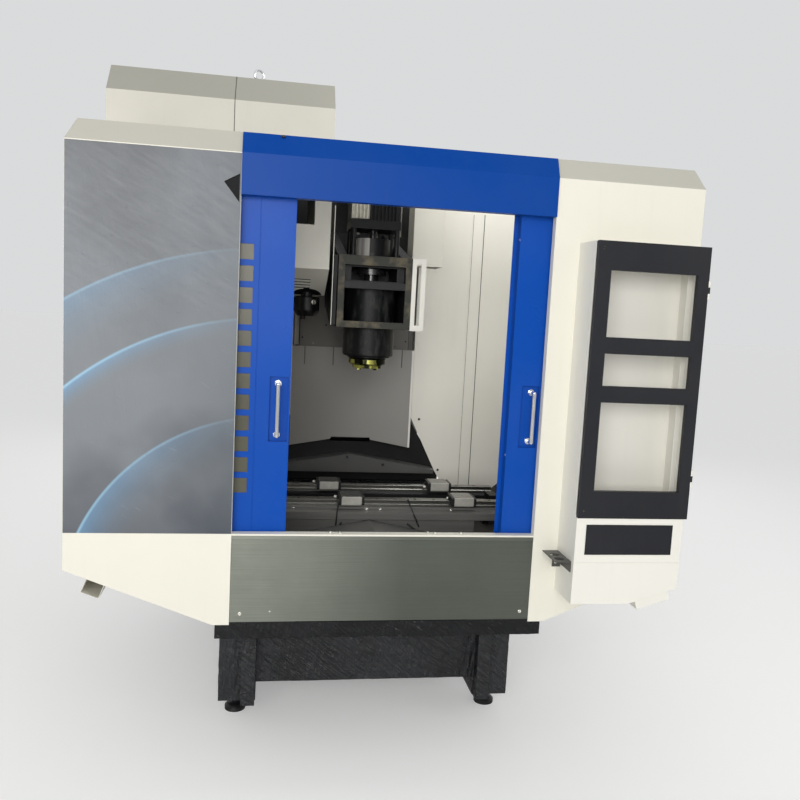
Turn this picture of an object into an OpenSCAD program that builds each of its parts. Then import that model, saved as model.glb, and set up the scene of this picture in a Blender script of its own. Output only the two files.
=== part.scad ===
// Small vertical machining centre, with its doors open and its work table not yet fitted.
// X runs to the right, Y into the machine and Z up. The origin is on the floor, under the middle.
// A depth is measured from the front plane of the panels towards the back.

/* [Enclosure] */
// Width over the side panels
enclosure_w = 2100; // [2060:10:2300]
// Width of the door opening between the front panels
opening_w = 1040; // [960:10:1080]
// Depth from the front plane to the back of the control cabinet
machine_d = 2161; // [2140:1:2300]
// Depth from the front plane to the rear wall of the work space
work_d = 1375; // [1360:5:1400]
// Height of the fold under the sloped top band
fold_z = 2055; // [2040:5:2150]
// Rise of the sloped top band
top_rise = 67; // [40:1:90]
// Set-back of the sloped top band
top_set = 31; // [20:1:45]
// Height of the outer bottom corner of the panels
side_bottom_z = 703; // [640:1:720]
// Half width of the level middle of the panels' bottom edge
flat_half_w = 575; // [570:1:620]
// Thickness of the sheet steel
sheet_t = 2; // [1.5:0.1:2.5]

/* [Front] */
// Height of the lower edge of the header beam
header_z = 1926; // [1900:1:1950]
// How far the header beam stands in front of the panels
header_proud = 6; // [1:1:14]
// Height of the top of the door sill
sill_z = 827; // [826:1:850]
// Height of the white front lip of the sill
sill_h = 19; // [10:1:30]
// Depth of the sill and of the header
beam_d = 118; // [110:1:130]
// Gap between the apron sheet and its neighbours
apron_gap = 1; // [0.5:0.1:3]

/* [Doors] */
// Width of one sliding door
door_w = 560; // [540:5:580]
// Thickness of a door
door_t = 35; // [30:1:38]
// Depth of the doors' front faces
door_set = 40; // [38:1:44]
// Distance from the middle to the left door's leading edge
left_lead = 343; // [200:1:380]
// Distance from the middle to the right door's leading edge
right_lead = 412; // [250:1:420]
// Side of one square window
window_size = 50; // [30:1:60]
// Distance between neighbouring windows
window_pitch = 70; // [65:1:72]
// Number of windows above each other
window_rows = 12; // [4:1:12]
// Number of windows side by side
window_cols = 5; // [1:1:5]
// Distance from the leading edge to the first window
window_in = 133; // [125:1:150]
// Height of the lowest window's lower edge
window_z = 957; // [900:1:980]
// Height of the middle of the handles
handle_z = 1241; // [1100:1:1500]
// Length of a handle
handle_h = 186; // [120:1:200]
// Diameter of a handle bar
handle_dia = 14; // [10:1:18]

/* [Console] */
// How far the console stands in front of the front plane
console_proud = 161; // [120:1:200]
// Width of the hinged console frame
console_w = 388; // [380:1:400]
// Height of the hinged console frame
console_h = 911; // [900:1:1000]
// Height of the lower edge of the console frame
console_z = 934; // [930:1:960]
// Thickness of the console frame
frame_t = 18; // [12:1:24]
// Width of the three console openings
console_open_w = 302; // [280:1:306]
// Heights of the three openings, from the lowest
console_open_h = [297, 106, 215];
// Height of each opening's lower edge over the frame's lower edge
console_open_z = [92, 443, 603];
// Diameter of the hinge pins
hinge_pin = 6; // [4:0.5:7]
// Length of a hinge
hinge_h = 60; // [40:1:80]

/* [Bed] */
// Width of the bed casting
bed_w = 1134; // [1120:2:1138]
// Height of the top of the bed
bed_z = 520; // [510:1:560]
// Thickness of the bed's top slab
slab_t = 55; // [40:1:80]
// Depth of the front of the bed's legs
leg_set = 335; // [250:5:360]
// Width of a leg
leg_w = 140; // [100:5:180]
// Height of the underside of the legs
leg_z = 76; // [70:1:100]
// Height of the underside of the bed body between the legs
belly_z = 150; // [130:1:200]
// Thickness of the castings' walls
cast_t = 32; // [24:1:40]
// Diameter of a levelling foot
foot_dia = 80; // [60:1:110]

/* [Axes] */
// Width of the linear rails
rail_w = 34; // [28:1:36]
// Height of the linear rails
rail_h = 29; // [26:1:31]
// Height of a carriage's top over the rail's base
carriage_h = 48; // [46:1:52]
// Width of a carriage
carriage_w = 100; // [92:1:104]
// Length of a carriage with its end caps
carriage_l = 104; // [90:1:120]
// Distance between the centres of the two Y rails
y_rail_gap = 460; // [420:10:480]
// Distance between the centres of the two X rails
x_rail_gap = 275; // [265:1:280]
// Depth of the front X rail's centre
x_rail_set = 585; // [580:1:590]
// Length of the X rails
x_rail_l = 1200; // [1160:10:1240]
// Height of the saddle's top
saddle_z = 781; // [775:1:785]
// Thickness of the saddle's top flange
saddle_flange_t = 37; // [30:1:45]
// Distance between the centres of the two Z rails
z_rail_gap = 400; // [390:5:420]
// Diameter of the ball screws
screw_dia = 32; // [25:1:36]
// Face width of a servo motor
servo_w = 130; // [110:5:140]
// Running clearance between a carriage and its rail
run_gap = 0.3; // [0.2:0.05:0.5]

/* [Spindle head] */
// Width of the spindle head
head_w = 304; // [290:2:306]
// Height of the head's lower face
head_z = 1508; // [1490:1:1520]
// Height of the head's front box
head_h = 294; // [280:1:300]
// Depth of the head's front face
head_set = 654; // [640:1:660]
// Depth of the spindle's axis
spindle_set = 808; // [800:1:815]
// Outside diameter of the spindle sleeve
sleeve_dia = 217; // [200:1:224]
// How far the sleeve reaches below the head
sleeve_drop = 121; // [80:1:130]
// Diameter of the spindle nose
nose_dia = 161; // [140:1:180]
// Diameter of the spindle's journal
journal_dia = 130; // [110:1:136]
// Width of the spindle motor
motor_w = 206; // [190:2:220]
// Height of the spindle motor
motor_h = 296; // [250:1:310]
// Free height under the motor plate
post_h = 113; // [105:1:125]

/* [Column] */
// Width of the column
column_w = 580; // [570:5:600]
// Height of the top of the column
column_z = 2200; // [2190:5:2240]
// Height where the column's foot begins to flare
flare_z = 1060; // [1000:10:1100]
// Width of the column's foot
foot_w = 960; // [940:10:980]
// Height of the column's seat on the bed
seat_z = 700; // [690:1:710]

/* [Tool magazine] */
// Height of the magazine housing's top
magazine_z = 2455; // [2450:5:2500]
// Depth of the magazine housing's front
magazine_set = 575; // [570:1:580]
// Distance from the middle to the housing's right side
magazine_in = 196; // [194:1:210]
// Distance from the middle to the housing's seam
magazine_seam = 576; // [560:1:600]
// Number of tool pots
pot_count = 16; // [8:1:20]
// Diameter of a tool pot
pot_dia = 70; // [50:1:76]
// Radius of the circle of pots
pot_ring = 285; // [270:1:288]
// Diameter of the tool changer's hub
changer_dia = 109; // [90:1:120]

/* [Hidden] */
$fn = 48;
eps = 0.01;

// Enclosure
hw = enclosure_w / 2;
ho = opening_w / 2;
front_y = console_proud - (machine_d + console_proud) / 2;
top_z = fold_z + top_rise;
top_lip = 40;
flat_z = bed_z - 6;
slope_run = hw - flat_half_w;
slope_rise = side_bottom_z - flat_z;
slope_angle = atan2(slope_rise, slope_run);
edge_flange = 30;
play = 0.3;
pan_t = 3;

// Doors
sill_low_z = sill_z - 24;
door_z0 = sill_low_z + 7;
door_z1 = header_z + 34;
rail_d = door_set + door_t / 2;
guide_half = hw - 90;
handle_in_left = 4;
handle_in_right = 40;
handle_tray_w = 66;
handle_tray_h = handle_h + 35;
handle_tray_d = 12;

// Console
console_x1 = hw - 49;
console_x0 = console_x1 - console_w;
box_x0 = console_x0 - 3;
box_x1 = console_x1 - 11;
console_top = console_z + console_h;
box_z = console_z - 153;
box_front = console_proud - frame_t - 2;
low_front = console_proud - 3;
low_box_z = box_z - 144;
open_x0 = console_x0 + 47;
hinge_x = console_x1 + 3;
hinge_y = -console_proud + 6;
hinge_r = hinge_pin / 2 + 3;
hinge_zs = [console_z + 109, console_z + 741];

// Axes
y_way_z = saddle_z - 93 - carriage_h;
y_way_w = y_rail_gap + 140;
y_rail_x = y_rail_gap / 2;
y_rail_d0 = 80;
y_rail_d1 = 1330;
x_rail_top = saddle_z + rail_h;
x_rail_back = x_rail_set + x_rail_gap;
x_screw_d = x_rail_set + x_rail_gap / 2;
x_screw_z = saddle_z - 14;
saddle_d0 = x_rail_set - 85;
saddle_d1 = x_rail_back + 65;
saddle_low_z = y_way_z + carriage_h;
saddle_half = x_rail_l / 2 + 6;
cover_z = saddle_z - 31;
cover_half = bed_w / 2 - 149;
cover_slope = 0.2;
front_cover_d0 = 24;
front_cover_d1 = saddle_d0 - 129;
middle_cover_d0 = front_cover_d1 - 193;
middle_cover_d1 = saddle_d0 - 36;
inner_cover_d0 = saddle_d0 - 388;
inner_cover_d1 = saddle_d0 + 12;
saddle_low_half = 441;
y_carriage_ds = [saddle_d0 + 76, saddle_d1 - 76];
bearing_seat_z = x_screw_z - 46;
y_screw_z = y_way_z + 12;
x_front_left = -68;
x_front_right = 400;
x_rear_left = -141;
x_rear_right = 354;
x_nut_x = -430;

// Column and head
column_d = work_d + 80;
column_back = machine_d - 221;
column_half = column_w / 2;
wall_in = column_half + 17;
z_rail_x = z_rail_gap / 2;
z_rail_z0 = 1390;
z_rail_z1 = column_z - 20;
head_back = column_d - carriage_h;
head_plate_t = 22;
head_plate_z0 = head_z + 92;
head_plate_z1 = head_z + 442;
head_top = head_z + head_h;
head_half = head_w / 2;
head_box_back = spindle_set + 172;
neck_z = head_z + 77;
z_carriage_zs = [head_plate_z0 + 60, head_plate_z1 - 60];
z_screw_d = column_d + 30;
z_nut_z = head_z + 262;
sleeve_z = head_z - sleeve_drop;
shelf_z = head_z + 160;
nose_z = sleeve_z - 52;
stand_z = head_top + post_h;
post_x = motor_w / 2 - 13;
splash_top = 1388;
splash_half = 314;
splash_t = 2;
upper_splash_half = 273;

// Tool magazine
magazine_out = hw - 6;
magazine_low = 1633;
magazine_front_z = 1733;
changer_x = -270;
changer_top = magazine_low - 3;
disc_x = -505;
disc_d = 905;
disc_z = 2060;
gearbox_top = disc_z + 75;

// Control cabinet
cabinet_half = 450;
cabinet_z0 = 600;
cabinet_z1 = 2150;
cabinet_door_t = 22;
cabinet_back = machine_d - 8;

// Colours
white = [0.93, 0.92, 0.88];
blue = [0.10, 0.27, 0.68];
black = [0.13, 0.13, 0.15];
casting_black = [0.18, 0.18, 0.2];
steel = [0.62, 0.63, 0.62];
bright = [0.8, 0.81, 0.82];
grey = [0.45, 0.44, 0.43];
dark_grey = [0.26, 0.26, 0.27];

// Front edge of a depth, as a Y place
function dy(d) = front_y + d;

// Box between two corners given by X, depth and Z
module block(x0, x1, d0, d1, z0, z1) {
    translate([x0, dy(d0), z0]) cube([x1 - x0, d1 - d0, z1 - z0]);
}

// Flat shape in X and Z, given a thickness towards the back
module wall_xz(d, t) {
    translate([0, dy(d) + t, 0]) rotate([90, 0, 0]) linear_extrude(t) children();
}

// Flat shape in depth and Z, given a thickness along X
module wall_yz(x, t) {
    translate([x, front_y, 0]) rotate([90, 0, 90]) linear_extrude(t) children();
}

// Flat shape in X and depth, given a thickness upwards
module wall_xy(z, t) {
    translate([0, front_y, z]) linear_extrude(t) children();
}

module rod_y(x, d, z, dia, l) {
    translate([x, dy(d), z]) rotate([-90, 0, 0]) cylinder(d = dia, h = l);
}

module rod_x(x, d, z, dia, l) {
    translate([x, dy(d), z]) rotate([0, 90, 0]) cylinder(d = dia, h = l);
}

module rod_z(x, d, z, dia, l) {
    translate([x, dy(d), z]) cylinder(d = dia, h = l);
}

// The same shape on both sides of the middle
module both_sides() {
    children();
    mirror([1, 0, 0]) children();
}

// Linear rail along X from the origin, standing on Z = 0
module rail(l) {
    pitch = 80;
    count = floor((l - 40) / pitch);
    first = (l - (count - 1) * pitch) / 2;
    w = rail_w / 2;
    difference() {
        rotate([90, 0, 90]) linear_extrude(l) polygon([
            [-w, 0], [w, 0], [w, rail_h * 0.34], [w - 4, rail_h * 0.48], [w - 4, rail_h * 0.68],
            [w, rail_h * 0.82], [w, rail_h - 1], [w - 1, rail_h], [1 - w, rail_h], [-w, rail_h - 1],
            [-w, rail_h * 0.82], [4 - w, rail_h * 0.68], [4 - w, rail_h * 0.48], [-w, rail_h * 0.34]]);
        for (i = [0 : count - 1]) translate([first + i * pitch, 0, 0]) {
            translate([0, 0, rail_h - 12]) cylinder(d = 14, h = 13, $fn = 24);
            translate([0, 0, -1]) cylinder(d = 9, h = rail_h, $fn = 24);
        }
    }
}

// Carriage on a rail along X: steel block, two end caps, and four tapped holes for what it carries
module carriage() {
    cap = 12;
    w = carriage_w / 2;
    foot = carriage_h - 37;
    slot = rail_w / 2 + run_gap;
    hole_x = carriage_l / 2 - cap - 9;
    hole_y = w - 9;
    difference() {
        union() {
            translate([cap - carriage_l / 2, 0, 0]) rotate([90, 0, 90])
                linear_extrude(carriage_l - 2 * cap) polygon([
                    [-w, foot + 4], [-w + 3, foot], [w - 3, foot], [w, foot + 4], [w, carriage_h - 2],
                    [w - 2, carriage_h], [2 - w, carriage_h], [-w, carriage_h - 2]]);
            for (s = [-1, 1]) translate([s * (carriage_l - cap) / 2 - cap / 2, 0, 0]) rotate([90, 0, 90])
                linear_extrude(cap) polygon([
                    [-w + 1, foot + 6], [-w + 4, foot + 1], [w - 4, foot + 1], [w - 1, foot + 6],
                    [w - 1, carriage_h - 5], [w - 6, carriage_h - 1.5], [6 - w, carriage_h - 1.5],
                    [1 - w, carriage_h - 5]]);
            translate([-carriage_l / 2 - 9, 0, carriage_h - 9]) rotate([0, 90, 0]) cylinder(d = 8, h = 10);
        }
        translate([-carriage_l, -slot, -1]) cube([2 * carriage_l, 2 * slot, rail_h + run_gap + 1]);
        for (x = [-hole_x, hole_x], y = [-hole_y, hole_y]) translate([x, y, carriage_h - 14])
            cylinder(d = 8.5, h = 15, $fn = 24);
    }
}

// Rail pair and carriage placings, by axis
module on_y_rail(side) {
    translate([side * y_rail_x, 0, y_way_z]) rotate([0, 0, 90]) children();
}

module on_z_rail(side) {
    translate([side * z_rail_x, dy(column_d), 0]) rotate([0, -90, 90]) children();
}

module on_x_rail(x, d) {
    translate([x, dy(d), saddle_z]) children();
}

// Ball screw along Z from the origin, turned down over e0 at its start and over e1 at its end
module ball_screw(l, e0, e1) {
    journal = screw_dia - 7;
    rotate_extrude() polygon([
        [0, 0], [journal / 2 - 2, 0], [journal / 2, 2], [journal / 2, e0], [screw_dia / 2, e0],
        [screw_dia / 2, l - e1], [journal / 2, l - e1], [journal / 2, l - 2],
        [journal / 2 - 2, l], [0, l]]);
}

// Bearing block for a screw along Z, open through its bore, fixed at the origin's -Y side
module bearing_block(w, h, reach) {
    difference() {
        translate([-w / 2, -w / 2, 0]) cube([w, w / 2 + reach, h]);
        translate([0, 0, -1]) cylinder(d = screw_dia - 7 + 0.1, h = h + 2);
        for (s = [-1, 1]) translate([s * (w / 2 - 11), 0, h - 7]) cylinder(d = 13, h = 8, $fn = 24);
    }
}

// Servo motor along Z from the origin: flange, body with cut corners, encoder cap and plug
module servo_motor(l, w) {
    corner = w * 0.16;
    difference() {
        union() {
            linear_extrude(14) square(w, center = true);
            translate([0, 0, 13]) linear_extrude(l - 55) polygon([
                [-w / 2, corner - w / 2], [corner - w / 2, -w / 2], [w / 2 - corner, -w / 2],
                [w / 2, corner - w / 2], [w / 2, w / 2 - corner], [w / 2 - corner, w / 2],
                [corner - w / 2, w / 2], [-w / 2, w / 2 - corner]]);
            translate([0, 0, l - 44]) linear_extrude(44) square(w * 0.72, center = true);
            translate([w * 0.3, 0, l * 0.55]) rotate([0, 90, 0]) cylinder(d = 28, h = w * 0.2 + 18);
        }
        for (x = [-1, 1], y = [-1, 1]) translate([x * w * 0.43, y * w * 0.43, -1])
            cylinder(d = 9, h = 16, $fn = 24);
        translate([0, 0, -1]) cylinder(d = screw_dia - 6, h = 34);
    }
}

// Outline of one front panel, on the right of the middle
function panel_outline() = [[ho, fold_z], [hw, fold_z], [hw, side_bottom_z], [flat_half_w, flat_z], [ho, flat_z]];

// Section of the sloped top band with its lip, as depth and height
function band_section(front, lip) = [
    [front, fold_z], [front + top_set, top_z], [front + top_set + lip, top_z],
    [front + top_set + lip, top_z - sheet_t], [front + top_set + sheet_t * 0.65, top_z - sheet_t],
    [front + sheet_t, fold_z - 1], [front + sheet_t, fold_z - 6], [front, fold_z - 6]];

// Triangular finger notch in the left panel, as X and Z
function notch_outline() = [[-ho - 5, fold_z - 66], [-ho - 54, fold_z - 93], [-ho - 5, fold_z - 155]];

module front_panel() {
    difference() {
        union() {
            wall_xz(0, sheet_t) polygon(panel_outline());
            block(ho, ho + sheet_t, 0, edge_flange, bed_z + pan_t + play, top_z - sheet_t);
            wall_yz(ho, hw - ho) polygon(band_section(0, top_lip));
        }
        wall_xz(-1, top_set + top_lip + 2) polygon([
            [hw, fold_z], [hw - 1.5 * top_set, fold_z + 1.5 * top_rise], [hw + 50, fold_z + 2 * top_rise],
            [hw + 50, fold_z]]);
        wall_yz(ho - 1, 3 + sheet_t) polygon([
            [-1, fold_z], [0, fold_z], [top_set, top_z], [top_set, top_z + 9], [-1, top_z + 9]]);
    }
}

module front_panel_right() {
    color(white) front_panel();
}

module front_panel_left() {
    color(white) difference() {
        mirror([1, 0, 0]) front_panel();
        wall_xz(-1, sheet_t + 2) polygon(notch_outline());
    }
}

// Printed film over the left panel, plain here, with the panel's notch cut through
module graphic_film() {
    film_t = 0.5;
    color([0.42, 0.45, 0.48]) difference() {
        block(-hw + 1, -ho - 1, -film_t, 0, sill_z, fold_z - 3);
        wall_xz(-1, 2) polygon(notch_outline());
    }
}

// Side panels and rear walls of the work space, with the same sloped top band
module enclosure_walls() {
    rear_d = work_d;
    side_d0 = sheet_t;
    color(white) {
        difference() {
            union() {
                block(-hw, -hw + sheet_t, side_d0, rear_d, side_bottom_z, fold_z);
                mirror([1, 0, 0]) side_band(side_d0, magazine_set - play);
            }
            mirror([1, 0, 0]) band_mitre();
        }
        difference() {
            union() {
                block(hw - sheet_t, hw, side_d0, rear_d, side_bottom_z, fold_z);
                side_band(side_d0, rear_d);
            }
            band_mitre();
        }
        rear_wall(1);
        mirror([1, 0, 0]) rear_wall(-1);
    }
}

// Sloped top band and lip of a side panel, between two depths
module side_band(d0, d1) {
    translate([0, dy(d1), 0]) rotate([90, 0, 0]) linear_extrude(d1 - d0) polygon([
        [hw, fold_z], [hw - top_set, top_z], [hw - top_set - top_lip, top_z],
        [hw - top_set - top_lip, top_z - sheet_t], [hw - top_set - sheet_t * 0.65, top_z - sheet_t],
        [hw - sheet_t, fold_z - 1]]);
}

// Room for the front panel's band where the two bands meet
module band_mitre() {
    wall_yz(hw - top_set - top_lip - 1, top_set + top_lip + 2) polygon([
        [0, fold_z - 2], [sheet_t + play, fold_z - 2], [top_set + 1.3 * sheet_t, top_z - sheet_t],
        [top_set + top_lip + play, top_z - sheet_t - play], [top_set + top_lip + play, top_z + 9],
        [0, top_z + 9]]);
}

// One rear wall, cut round the flared foot of the column, with a flange back to the column
module rear_wall(side) {
    union() {
        wall_xz(work_d, sheet_t) polygon([
            [wall_in, top_z], [wall_in, flare_z - 17], [442, 774], [foot_w / 2 + 6, seat_z], [foot_w / 2 + 6, bed_z + 4],
            [flat_half_w + 3, bed_z + 4], [hw, side_bottom_z + 4], [hw, fold_z], [hw - top_set, top_z]]);
        block(wall_in, wall_in + sheet_t, work_d, work_d + 78, flare_z - 10, top_z);
        if (side > 0) for (x = [573, 629]) block(x - 1, x + 1, work_d - 1, work_d, bed_z + 60, top_z - 4);
    }
}

module header_beam() {
    p = -header_proud;
    t = sheet_t;
    color(blue) wall_yz(-ho, opening_w) polygon([
        [p, header_z], [p, fold_z], [p + top_set, top_z], [beam_d, top_z], [beam_d, top_z - 30],
        [beam_d - t, top_z - 30], [beam_d - t, top_z - t], [p + top_set + 0.65 * t, top_z - t],
        [p + t, fold_z - 1], [p + t, header_z + t], [door_set - 8, header_z + t], [door_set - 8, header_z]]);
}

// Top channel and bottom bar that the two doors run on
module door_guides() {
    lip0 = rail_d - 9;
    lip1 = rail_d + 7;
    z0 = door_z1 + 8;
    color(steel) {
        difference() {
            wall_yz(-guide_half, 2 * guide_half) polygon([
                [lip0, z0], [lip0 + 2, z0], [lip0 + 2, z0 + 28], [lip1, z0 + 28], [lip1, z0],
                [lip1 + 2, z0], [lip1 + 2, top_z - sheet_t - 2], [lip1 + 20, top_z - sheet_t - 2],
                [lip1 + 20, top_z - sheet_t], [lip1, top_z - sheet_t], [lip1, z0 + 30], [lip0, z0 + 30]]);
            both_sides() block(ho - 1, hw, lip1 - 1, lip1 + 21, top_z - 40, top_z);
        }
        block(-guide_half, guide_half, rail_d - 3, rail_d + 3, sill_low_z, door_z0 - play);
    }
}

// White front lip of the sill, stepped down behind to the floor that carries the doors' guide bar
module door_sill() {
    step_d = edge_flange + play;
    color(white) union() {
        block(-ho, ho, 0, sheet_t, sill_z - sill_h, sill_z);
        block(-ho, ho, 0, step_d + sheet_t, sill_z - sheet_t, sill_z);
        block(-guide_half, guide_half, step_d, step_d + sheet_t, sill_low_z - sheet_t, sill_z);
        block(-guide_half, guide_half, step_d, beam_d, sill_low_z - sheet_t, sill_low_z);
        block(-guide_half, guide_half, beam_d - sheet_t, beam_d, sill_low_z - 20, sill_low_z);
    }
}

// Brushed apron sheet with folded edges and two screws
module apron_panel() {
    z0 = flat_z + 10;
    z1 = sill_z - sill_h - apron_gap / 2;
    x = ho - apron_gap;
    color(steel) {
        difference() {
            block(-x, x, 0, 20, z0, z1);
            block(-x + 1.5, x - 1.5, 1.5, 21, z0 - 1, z1 - 1.5);
        }
        both_sides() rod_y(x - 24, -2, z0 + 22, 12, 3, $fn = 24);
    }
}

// Sloped sheets between the side panels and the bed, the gutter under the left one, and a chute
module chip_pans() {
    gutter_w = 61;
    gutter_h = 54;
    gutter_l = 420;
    gutter_at = 0.842;
    pan_end = work_d - play;
    color(dark_grey) {
        both_sides() translate([0, dy(pan_end), 0]) rotate([90, 0, 0])
            linear_extrude(pan_end - sheet_t - play) polygon([
                [hw - sheet_t - play, side_bottom_z + 1], [hw - sheet_t - play, side_bottom_z + 1 + pan_t + 12],
                [hw - sheet_t - play - pan_t, side_bottom_z + 1 + pan_t + 12],
                [hw - sheet_t - play - pan_t, side_bottom_z + 1 + pan_t], [flat_half_w, bed_z + pan_t],
                [y_way_w / 2 + play, bed_z + pan_t], [y_way_w / 2 + play, bed_z], [flat_half_w + 1, bed_z]]);
        translate([-(flat_half_w + gutter_at * slope_run), dy(sheet_t + play), flat_z + 6 + gutter_at * slope_rise])
            rotate([0, slope_angle, 0]) difference() {
                translate([0, 0, -gutter_h]) cube([gutter_w, gutter_l, gutter_h]);
                translate([sheet_t, -1, sheet_t - gutter_h])
                    cube([gutter_w - 2 * sheet_t, gutter_l + 2, gutter_h]);
            }
        chute();
    }
}

// Steep chute sheet in the right rear corner
module chute() {
    x0 = 655;
    x1 = hw - sheet_t - play - 3;
    z0 = bed_z + 6 + (x0 - flat_half_w) * slope_rise / slope_run + 40;
    rise = (x1 - x0) * 0.86;
    depth_l = 238;
    translate([0, dy(work_d - play), 0]) rotate([90, 0, 0]) linear_extrude(depth_l) polygon([
        [x0, z0 - 44], [x0, z0], [x1, z0 + rise], [x1, z0 + rise - 6], [x0 + 4, z0 - 4], [x0 + 4, z0 - 44]]);
}

// Bed casting: slab, ribbed body on six legs, raised way with its rail seats, and the column's seat
module bed_casting() {
    half = bed_w / 2;
    back = column_back;
    body_l = back - leg_set;
    leg_l = 190;
    leg_ds = [leg_set, leg_set + (body_l - leg_l) / 2, back - leg_l];
    under = bed_z - slab_t;
    way_half = y_way_w / 2;
    color(casting_black) difference() {
        union() {
            block(-half, half, 4, back, under, bed_z);
            block(-half, half, leg_set, back, belly_z, under);
            for (d = leg_ds) {
                block(-half, -half + leg_w, d, d + leg_l, leg_z, under);
                block(half - leg_w, half, d, d + leg_l, leg_z, under);
            }
            block(-way_half, way_half, 50, back - 50, bed_z, y_way_z);
            block(-foot_w / 2, foot_w / 2, column_d - 15, back, bed_z, seat_z);
            both_sides() block(half - leg_w + 3, half - leg_w + 55, leg_set - 45, leg_set + 1, leg_z, under);
        }
        // Pockets under the slab, between the walls and the cross ribs
        for (i = [0 : 2]) {
            rib = cast_t;
            cell = (body_l - 4 * rib) / 3;
            d0 = leg_set + rib + i * (cell + rib);
            block(-half + leg_w, half - leg_w, d0, d0 + cell, belly_z - 1, under - 4);
        }
        // Channel between the rail seats, with room for the screw
        block(-way_half + 118, way_half - 118, 49, column_d - 40, y_way_z - 70, y_way_z + 1);
        // Clearance of the rail seats' outer edges
        both_sides() block(y_rail_x + 26, way_half + 1, 49, y_rail_d1 + 20, y_way_z - 14, y_way_z + 1);
        // Hollow of the column's seat, open to the back
        block(-foot_w / 2 + cast_t * 2, foot_w / 2 - cast_t * 2, column_d + 45, back - 50, bed_z + 20, seat_z - 40);
        block(-200, 200, back - 60, back + 1, bed_z + 20, seat_z - 40);
        // Tapped holes for the levelling bolts
        for (d = leg_ds) both_sides()
            rod_z(half - 62, d + leg_l / 2, leg_z - 1, 24.4, 61);
    }
}

// Levelling feet: round pad, bolt and lock nut, one under each leg
module levelling_feet() {
    half = bed_w / 2;
    leg_l = 190;
    body_l = column_back - leg_set;
    for (d = [leg_set, leg_set + (body_l - leg_l) / 2, column_back - leg_l]) color(black) both_sides()
        translate([half - 62, dy(d + leg_l / 2), 0]) {
            rotate_extrude() polygon([
                [0, 0], [foot_dia / 2, 0], [foot_dia / 2, 14], [foot_dia / 2 - 8, 22], [18, 26], [12, 30],
                [12, leg_z + 56], [0, leg_z + 56]]);
            difference() {
                translate([0, 0, leg_z - 19]) cylinder(d = 42, h = 19, $fn = 6);
                translate([0, 0, leg_z - 20]) cylinder(d = 24.2, h = 21);
            }
        }
}

// Rails that stand still: two under the saddle and two on the column
module linear_rails() {
    color(steel) for (s = [-1, 1]) {
        on_y_rail(s) translate([dy(y_rail_d0), 0, 0]) rail(y_rail_d1 - y_rail_d0);
        on_z_rail(s) translate([z_rail_z0, 0, 0]) rail(z_rail_z1 - z_rail_z0);
    }
}

module x_rails() {
    color(steel) for (d = [x_rail_set, x_rail_back])
        on_x_rail(-x_rail_l / 2, d) rail(x_rail_l);
}

module axis_bearing_blocks() {
    color(dark_grey) {
        for (d = [y_rail_d0 + 50, y_rail_d1 - 40]) translate([0, dy(d), y_screw_z])
            rotate([-90, 0, 0]) bearing_block(96, 40, y_screw_z - y_way_z + 70 - play);
        for (z = [z_rail_z0 - 150, column_z - 90]) translate([0, dy(z_screw_d), z])
            bearing_block(96, 40, 84 - play);
    }
}

module x_bearing_blocks() {
    color(dark_grey) for (x = [-x_rail_l / 2 + 12, x_rail_l / 2 - 52])
        translate([x, dy(x_screw_d), x_screw_z]) rotate([0, 90, 0]) rotate([0, 0, -90])
            bearing_block(82, 40, x_screw_z - bearing_seat_z);
}

module y_ball_screw() {
    color(bright) translate([0, dy(y_rail_d0 + 28), y_screw_z]) rotate([-90, 0, 0])
        ball_screw(y_rail_d1 - y_rail_d0, 72, 72);
}

module x_ball_screw() {
    color(bright) translate([-x_rail_l / 2 + 8, dy(x_screw_d), x_screw_z]) rotate([0, 90, 0])
        ball_screw(x_rail_l + 8, 72, 72);
}

module z_ball_screw() {
    color(bright) translate([0, dy(z_screw_d), z_rail_z0 - 154])
        ball_screw(column_z + 22 - z_rail_z0 + 154, 72, 118);
}

// Y motor behind the front end of the bed's way, and Z motor on the column
module axis_servo_motors() {
    color(black) {
        translate([0, dy(y_rail_d0 + 46), y_screw_z]) rotate([90, 0, 0]) servo_motor(72, 104);
        translate([0, dy(z_screw_d), column_z]) servo_motor(185, servo_w);
    }
}

module x_servo_motor() {
    color(black) translate([saddle_half, dy(x_screw_d), x_screw_z]) rotate([0, 90, 0])
        rotate([0, 0, 180]) servo_motor(230, servo_w);
}

// Nut on the X screw, with the bracket that waits for the table
module x_ball_nut() {
    w = 92;
    l = 96;
    color(steel) difference() {
        union() {
            translate([x_nut_x, dy(x_screw_d) - w / 2, x_screw_z - 30])
                cube([l, w, saddle_z + carriage_h - x_screw_z + 30]);
            rod_x(x_nut_x - 46, x_screw_d, x_screw_z, 58, 47);
            rod_x(x_nut_x - 14, x_screw_d, x_screw_z, 86, 15);
        }
        rod_x(x_nut_x - 50, x_screw_d, x_screw_z, screw_dia + 2 * run_gap, l + 60);
        for (x = [20, l - 20], y = [-1, 1]) rod_z(x_nut_x + x, x_screw_d + y * 32, saddle_z + 20, 8.5, 30);
    }
}

module x_carriage(x, d) {
    color(grey) on_x_rail(x, d) carriage();
}

module x_carriage_front_left() {
    x_carriage(x_front_left, x_rail_set);
}

module x_carriage_front_right() {
    x_carriage(x_front_right, x_rail_set);
}

module x_carriage_rear_left() {
    x_carriage(x_rear_left, x_rail_back);
}

module x_carriage_rear_right() {
    x_carriage(x_rear_right, x_rail_back);
}

module y_carriages() {
    color(grey) for (s = [-1, 1], d = y_carriage_ds)
        on_y_rail(s) translate([dy(d), 0, 0]) carriage();
}

module z_carriages() {
    color(grey) for (s = [-1, 1], z = z_carriage_zs)
        on_z_rail(s) translate([z, 0, 0]) carriage();
}

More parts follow.
